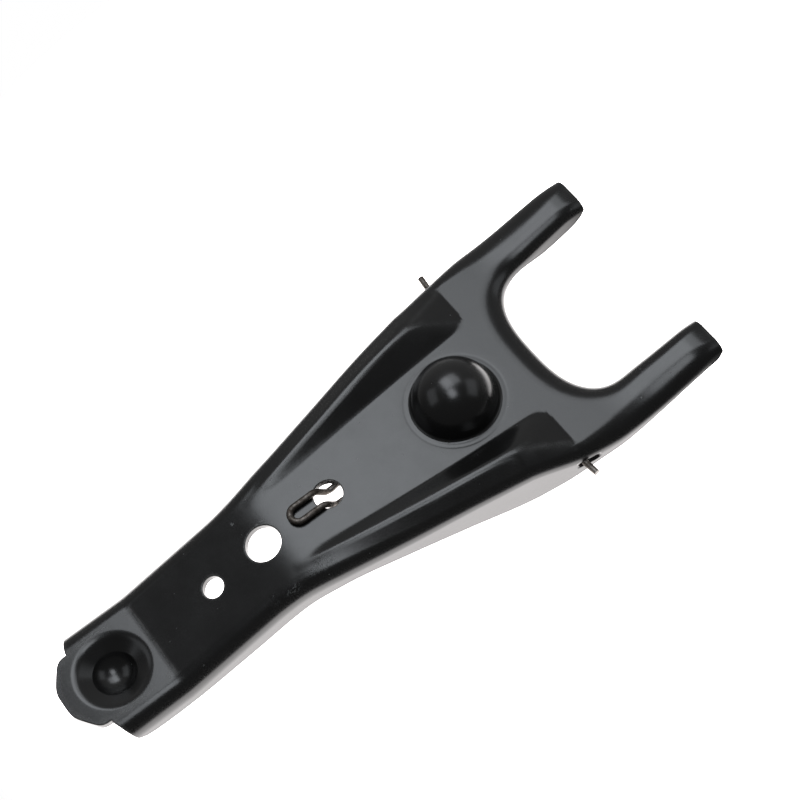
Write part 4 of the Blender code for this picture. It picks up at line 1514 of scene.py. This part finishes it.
@dataclass
class RetainingClip:
    """One bent wire: a loop on the web, two legs under it and two ends out of the slots.

    Attributes:
        wire: Diameter of the wire.
        lift: Height of its middle above the sheet, and depth under it.
        sheet: Thickness of the sheet.
        leg_half: Offset of the loop's legs from the axis.
        loop_x: Middle of the loop's round end.
        jog: Places between which the legs go down through the hole.
        neck: Offset of the legs from the axis under the web.
        wall: Place and offset at which an end passes through its flange.
        out_z: Height of the ends.
        end_half: Offset of the wire's ends from the axis.
        splay: Angle of the ends from straight across.
        bend_r: Radius of the bend before each end.
        neck_places: Places along the fork at which the legs' offset is taken.
        line_step: Distance between points along the wire, about.
        sides: Number of sides round the wire.
        end_shape: Distance from the wire's end and share of its radius there, which round the end.
        streaks: Drawn streaks a metre along the wire, and round it.
    """

    wire: float = 2.1
    lift: float = 1.1
    sheet: float = 3.0
    leg_half: float = 2.7
    loop_x: float = -59.9
    jog: tuple[float, float] = (-52.8, -47.6)
    neck: Course = Course(((-44.0, 3.0), (-12.0, 10.2), (0.0, 11.1), (8.0, 11.7)))
    wall: tuple[float, float] = (18.7, 40.4)
    out_z: float = -5.3
    end_half: float = 45.37
    splay: float = math.radians(6.0)
    bend_r: float = 5.0
    neck_places: tuple[float, ...] = (-38.0, -30.0, -21.0, -12.0, -4.0, 4.0, 8.0)
    line_step: float = 0.7
    sides: int = 20
    end_shape: tuple[tuple[float, float], ...] = ((0.0, 0.80), (0.10, 0.94), (0.28, 1.0))
    streaks: tuple[float, float] = (60.0, 14.0)

    def out_x(self, y: float) -> float:
        """Place along the fork of the straight ends that pass through the slots."""
        return self.wall[0] + (y - self.wall[1]) * math.tan(self.splay)

    def route(self) -> list[Vector]:
        """Runs along half the clip.

        Returns:
            Control points from the loop's end to the wire's end.
        """
        top, under = self.lift, -self.sheet - self.lift
        points = []
        for i in range(7):
            angle = math.pi / 2 * i / 6
            points.append((self.loop_x - self.leg_half * math.cos(angle),
                           self.leg_half * math.sin(angle), top))
        points += [(x, self.leg_half, top) for x in (self.loop_x + 2.6, self.jog[0] - 1.2)]
        for i in range(7):
            share = i / 6
            height = top + (under - top) * share * share * (3 - 2 * share)
            points.append((self.jog[0] + (self.jog[1] - self.jog[0]) * share, self.leg_half, height))
        points.append((self.jog[1] + 2.6, self.leg_half + 0.2, under))
        points += [(x, self.neck.at(x), under) for x in self.neck_places]
        bend_y = self.neck.at(self.neck_places[-1]) + 0.6 + self.bend_r
        bend_x = self.out_x(bend_y) - self.bend_r
        for i in range(6):
            angle = math.pi / 2 * i / 5
            points.append((bend_x + self.bend_r * math.sin(angle), bend_y - self.bend_r * math.cos(angle),
                           under + (self.out_z - under) * i / 5))
        points += [(self.out_x(y), y, self.out_z) for y in (22.0, 28.0, 34.0, 40.0, self.end_half)]
        return [Vector(p) for p in points]

    def centre_line(self, step: float) -> list[Vector]:
        """Smooth line through the control points and their mirror images.

        Args:
            step: Distance between points, about.

        Returns:
            Points along the whole wire.
        """
        points = self.route()
        half = [points[0]]
        for i in range(len(points) - 1):
            a, b, c = points[max(i - 1, 0)], points[i], points[i + 1]
            d = points[min(i + 2, len(points) - 1)]
            count = max(round((c - b).length / step), 1)
            for k in range(1, count + 1):
                t = k / count
                half.append(0.5 * (2 * b + (c - a) * t + (2 * a - 5 * b + 4 * c - d) * t * t
                                   + (3 * b - a - 3 * c + d) * t ** 3))
        return [Vector((p.x, -p.y, p.z)) for p in reversed(half)][:-1] + half

    def wire_tree(self) -> bpy.types.NodeTree:
        """Geometry nodes that sweep a round wire along a curve.

        Returns:
            The tree, with inputs for the curve, the wire's radius and sides, and its material.
        """
        tree = bpy.data.node_groups.new("drawn_wire", "GeometryNodeTree")
        for name, kind in (("Geometry", "NodeSocketGeometry"), ("Radius", "NodeSocketFloat"),
                           ("Sides", "NodeSocketInt"), ("Finish", "NodeSocketMaterial")):
            tree.interface.new_socket(name, in_out="INPUT", socket_type=kind)
        tree.interface.new_socket("Geometry", in_out="OUTPUT", socket_type="NodeSocketGeometry")
        recipe = Recipe(tree)
        given = recipe.node("NodeGroupInput").outputs
        line, length = recipe.capture(given["Geometry"], "Length",
                                      recipe.node("GeometryNodeSplineParameter").outputs["Length"])
        circle = recipe.node("GeometryNodeCurvePrimitiveCircle", None, Radius=given["Radius"],
                             Resolution=given["Sides"])
        ring, turn = recipe.capture(circle.outputs["Curve"], "Round",
                                    recipe.node("GeometryNodeSplineParameter").outputs["Factor"])
        sweep = recipe.node("GeometryNodeCurveToMesh", None, Curve=line, Profile_Curve=ring, Fill_Caps=True)
        drawn = recipe.node("ShaderNodeCombineXYZ", None, X=length * self.streaks[0],
                            Y=turn * self.streaks[1])
        store = recipe.node("GeometryNodeStoreNamedAttribute", {"data_type": "FLOAT_VECTOR"},
                            Geometry=sweep.outputs["Mesh"], Name="drawn", Value=drawn.outputs[0])
        real = recipe.node("GeometryNodeRealizeInstances", None, Geometry=store.outputs["Geometry"])
        finish = recipe.node("GeometryNodeSetMaterial", None, Geometry=real.outputs["Geometry"],
                             Material=given["Finish"])
        recipe.node("NodeGroupOutput", None, Geometry=finish.outputs["Geometry"])
        return tree

    def build(self) -> bpy.types.Object:
        """Makes the dressed clip.

        Returns:
            The finished object.
        """
        line = self.centre_line(self.line_step)
        for k, (inset, _) in enumerate(self.end_shape[1:], 1):
            line.insert(k, line[0] + (line[k] - line[0]).normalized() * inset)
            line.insert(-k, line[-1] + (line[-1 - k] - line[-1]).normalized() * inset)
        shares = [share for _, share in self.end_shape]
        curve = bpy.data.curves.new("clip_line", "CURVE")
        curve.dimensions = "3D"
        spline = curve.splines.new("POLY")
        spline.points.add(len(line) - 1)
        for i, (point, place) in enumerate(zip(spline.points, line)):
            point.co = (*(REST_POSE @ (place * MM)), 1.0)
            point.radius = shares[min(i, len(line) - 1 - i, len(shares) - 1)]
        holder = new_object("clip_line", curve)
        tree = self.wire_tree()
        sweep = holder.modifiers.new("Wire", "NODES")
        sweep.node_group = tree
        sockets = {item.name: item.identifier for item in tree.interface.items_tree if item.in_out == "INPUT"}
        sweep[sockets["Radius"]] = self.wire / 2 * MM
        sweep[sockets["Sides"]] = self.sides
        sweep[sockets["Finish"]] = SpringWire().material()
        mesh = evaluated_mesh(holder)
        bpy.data.objects.remove(holder)
        bm = bmesh.new()
        bm.from_mesh(mesh)
        bmesh.ops.remove_doubles(bm, verts=bm.verts, dist=1e-7)
        bmesh.ops.recalc_face_normals(bm, faces=bm.faces)
        bm.to_mesh(mesh)
        bm.free()
        piece = new_object("clip_wire", mesh)
        mesh.shade_smooth()
        mesh.set_sharp_from_angle(angle=SHARP_ANGLE)
        return piece


@dataclass(frozen=True)
class Panel:
    """Soft rectangular lamp.

    Attributes:
        lamp: Which lamp it is.
        place: Its place in metres.
        size: Its width and height in metres.
        radiance: Brightness of its face.
    """

    lamp: Lamp
    place: tuple[float, float, float]
    size: tuple[float, float]
    radiance: float


@dataclass
class Studio:
    """Pale table, soft lamps, dim room and the camera.

    Attributes:
        table_reach: Radius of the table top.
        table_middle: Place of its middle.
        table_drop: How far it lies under the fork.
        focal: Focal length of the lens in millimetres on a 36 mm sensor.
        camera_place: Place of the camera.
        camera_turn: Its turn in degrees.
        lamps: The lamps. Those overhead face down, and the panels face the fork.
        lamp_colour: Colour of their light.
        room_way: Level direction in which the room is lightest.
        room_dark: Colour of the room on the other side.
        room_lit: Its colour in that direction.
    """

    table_reach: float = 0.19
    table_middle: tuple[float, float] = (0.045, 0.03)
    table_drop: float = 0.0002
    focal: float = 94.6912
    camera_place: tuple[float, float, float] = (-0.057987, -0.28212, 0.592408)
    camera_turn: tuple[float, float, float] = (25.97462, 10.51882, -36.49996)
    lamps: tuple[Panel, ...] = (
        Panel(Lamp.OVERHEAD, (0.055, 0.28, 0.62), (0.27, 0.44), 4.15),
        Panel(Lamp.FAR_OVERHEAD, (0.3125, 0.28, 0.62), (0.245, 0.44), 2.6),
        Panel(Lamp.NEAR_OVERHEAD, (-0.01, -0.10, 0.62), (0.20, 0.25), 4.6),
        Panel(Lamp.RIGHT_PANEL, (0.56, -0.22, 0.42), (0.50, 0.34), 0.75),
        Panel(Lamp.LEFT_PANEL, (-0.50, 0.30, 0.46), (0.48, 0.34), 0.7),
    )
    lamp_colour: tuple[float, float, float] = (0.905, 0.95, 1.0)
    room_way: tuple[float, float, float] = (0.59, 0.80, 0.0)
    room_dark: tuple[float, float, float] = (0.10, 0.10, 0.10)
    room_lit: tuple[float, float, float] = (0.30, 0.30, 0.30)

    def build(self) -> bpy.types.Object:
        """Sets up the studio.

        Returns:
            The table top.
        """
        table = self._table()
        for panel in self.lamps:
            self._lamp(panel)
        self._room()
        self._camera()
        scene = bpy.context.scene
        scene.view_settings.view_transform = "Standard"
        scene.view_settings.look = "None"
        return table

    def _table(self) -> bpy.types.Object:
        """Makes the round table top just under the fork.

        Returns:
            The dressed table top.
        """
        bm = bmesh.new()
        bmesh.ops.create_circle(bm, cap_ends=True, segments=96, radius=self.table_reach)
        bmesh.ops.translate(bm, verts=bm.verts, vec=(*self.table_middle, -self.table_drop))
        mesh = bpy.data.meshes.new("table_top")
        bm.to_mesh(mesh)
        bm.free()
        table = new_object("table_top", mesh)
        dress(table, PaleTable().material())
        return table

    def _lamp(self, panel: Panel) -> None:
        """Adds a soft rectangular lamp.

        Args:
            panel: The lamp's place, size and brightness.
        """
        data = bpy.data.lights.new(panel.lamp.value, "AREA")
        data.shape = "RECTANGLE"
        data.size, data.size_y = panel.size
        data.energy = panel.radiance * math.pi * panel.size[0] * panel.size[1]
        data.color = self.lamp_colour
        made = new_object(panel.lamp.value, data)
        made.location = panel.place
        if panel.lamp in (Lamp.RIGHT_PANEL, Lamp.LEFT_PANEL):
            made.rotation_euler = (-Vector(panel.place)).to_track_quat("-Z", "Y").to_euler()

    def _room(self) -> None:
        """Dim room, dark toward the camera's corner, and pale where the camera looks past the table."""
        world = bpy.data.worlds.new("room")
        world.use_nodes = True
        recipe = Recipe(world.node_tree)
        way = recipe.node("ShaderNodeTexCoord").outputs["Generated"]
        toward = recipe.node("ShaderNodeVectorMath", {"operation": "DOT_PRODUCT"}, _0=way, _1=self.room_way)
        lit = recipe.value(toward.outputs["Value"]).rise(-0.15, 0.85)
        seen = recipe.node("ShaderNodeLightPath").outputs["Is Camera Ray"]
        colour = recipe.blend(seen, recipe.tint(lit, self.room_dark, self.room_lit), (1.0, 1.0, 1.0))
        back = recipe.node("ShaderNodeBackground", None, Color=colour, Strength=1.0)
        recipe.node("ShaderNodeOutputWorld", None, Surface=back.outputs[0])
        bpy.context.scene.world = world

    def _camera(self) -> None:
        """Camera at the photograph's viewing angle."""
        data = bpy.data.cameras.new("camera")
        data.sensor_width = 36.0
        data.lens = self.focal
        data.clip_start = 0.01
        made = new_object("camera", data)
        made.location = self.camera_place
        made.rotation_euler = Euler([math.radians(a) for a in self.camera_turn], "XYZ")
        bpy.context.scene.camera = made


def main() -> None:
    """Builds the pieces in order, ties them to the root and logs their facet counts."""
    logging.basicConfig(level=logging.INFO, format="%(name)s: %(message)s")
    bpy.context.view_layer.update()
    builders: list[tuple[Callable[[], bpy.types.Object], str, str]] = [
        (Pressing().build, "fork_body", "black_paint"),
        (RetainingClip().build, "retaining_clip", "spring_wire"),
    ]
    for build, node, slot in builders:
        piece = build()
        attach(piece, "root")
        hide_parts(node)
        LOG.info("%s: %d facets, stands for %s", piece.name, len(piece.data.polygons), node)
    Studio().build()
    LOG.info("table, lamps and camera are set")


if __name__ == "__main__":
    main()
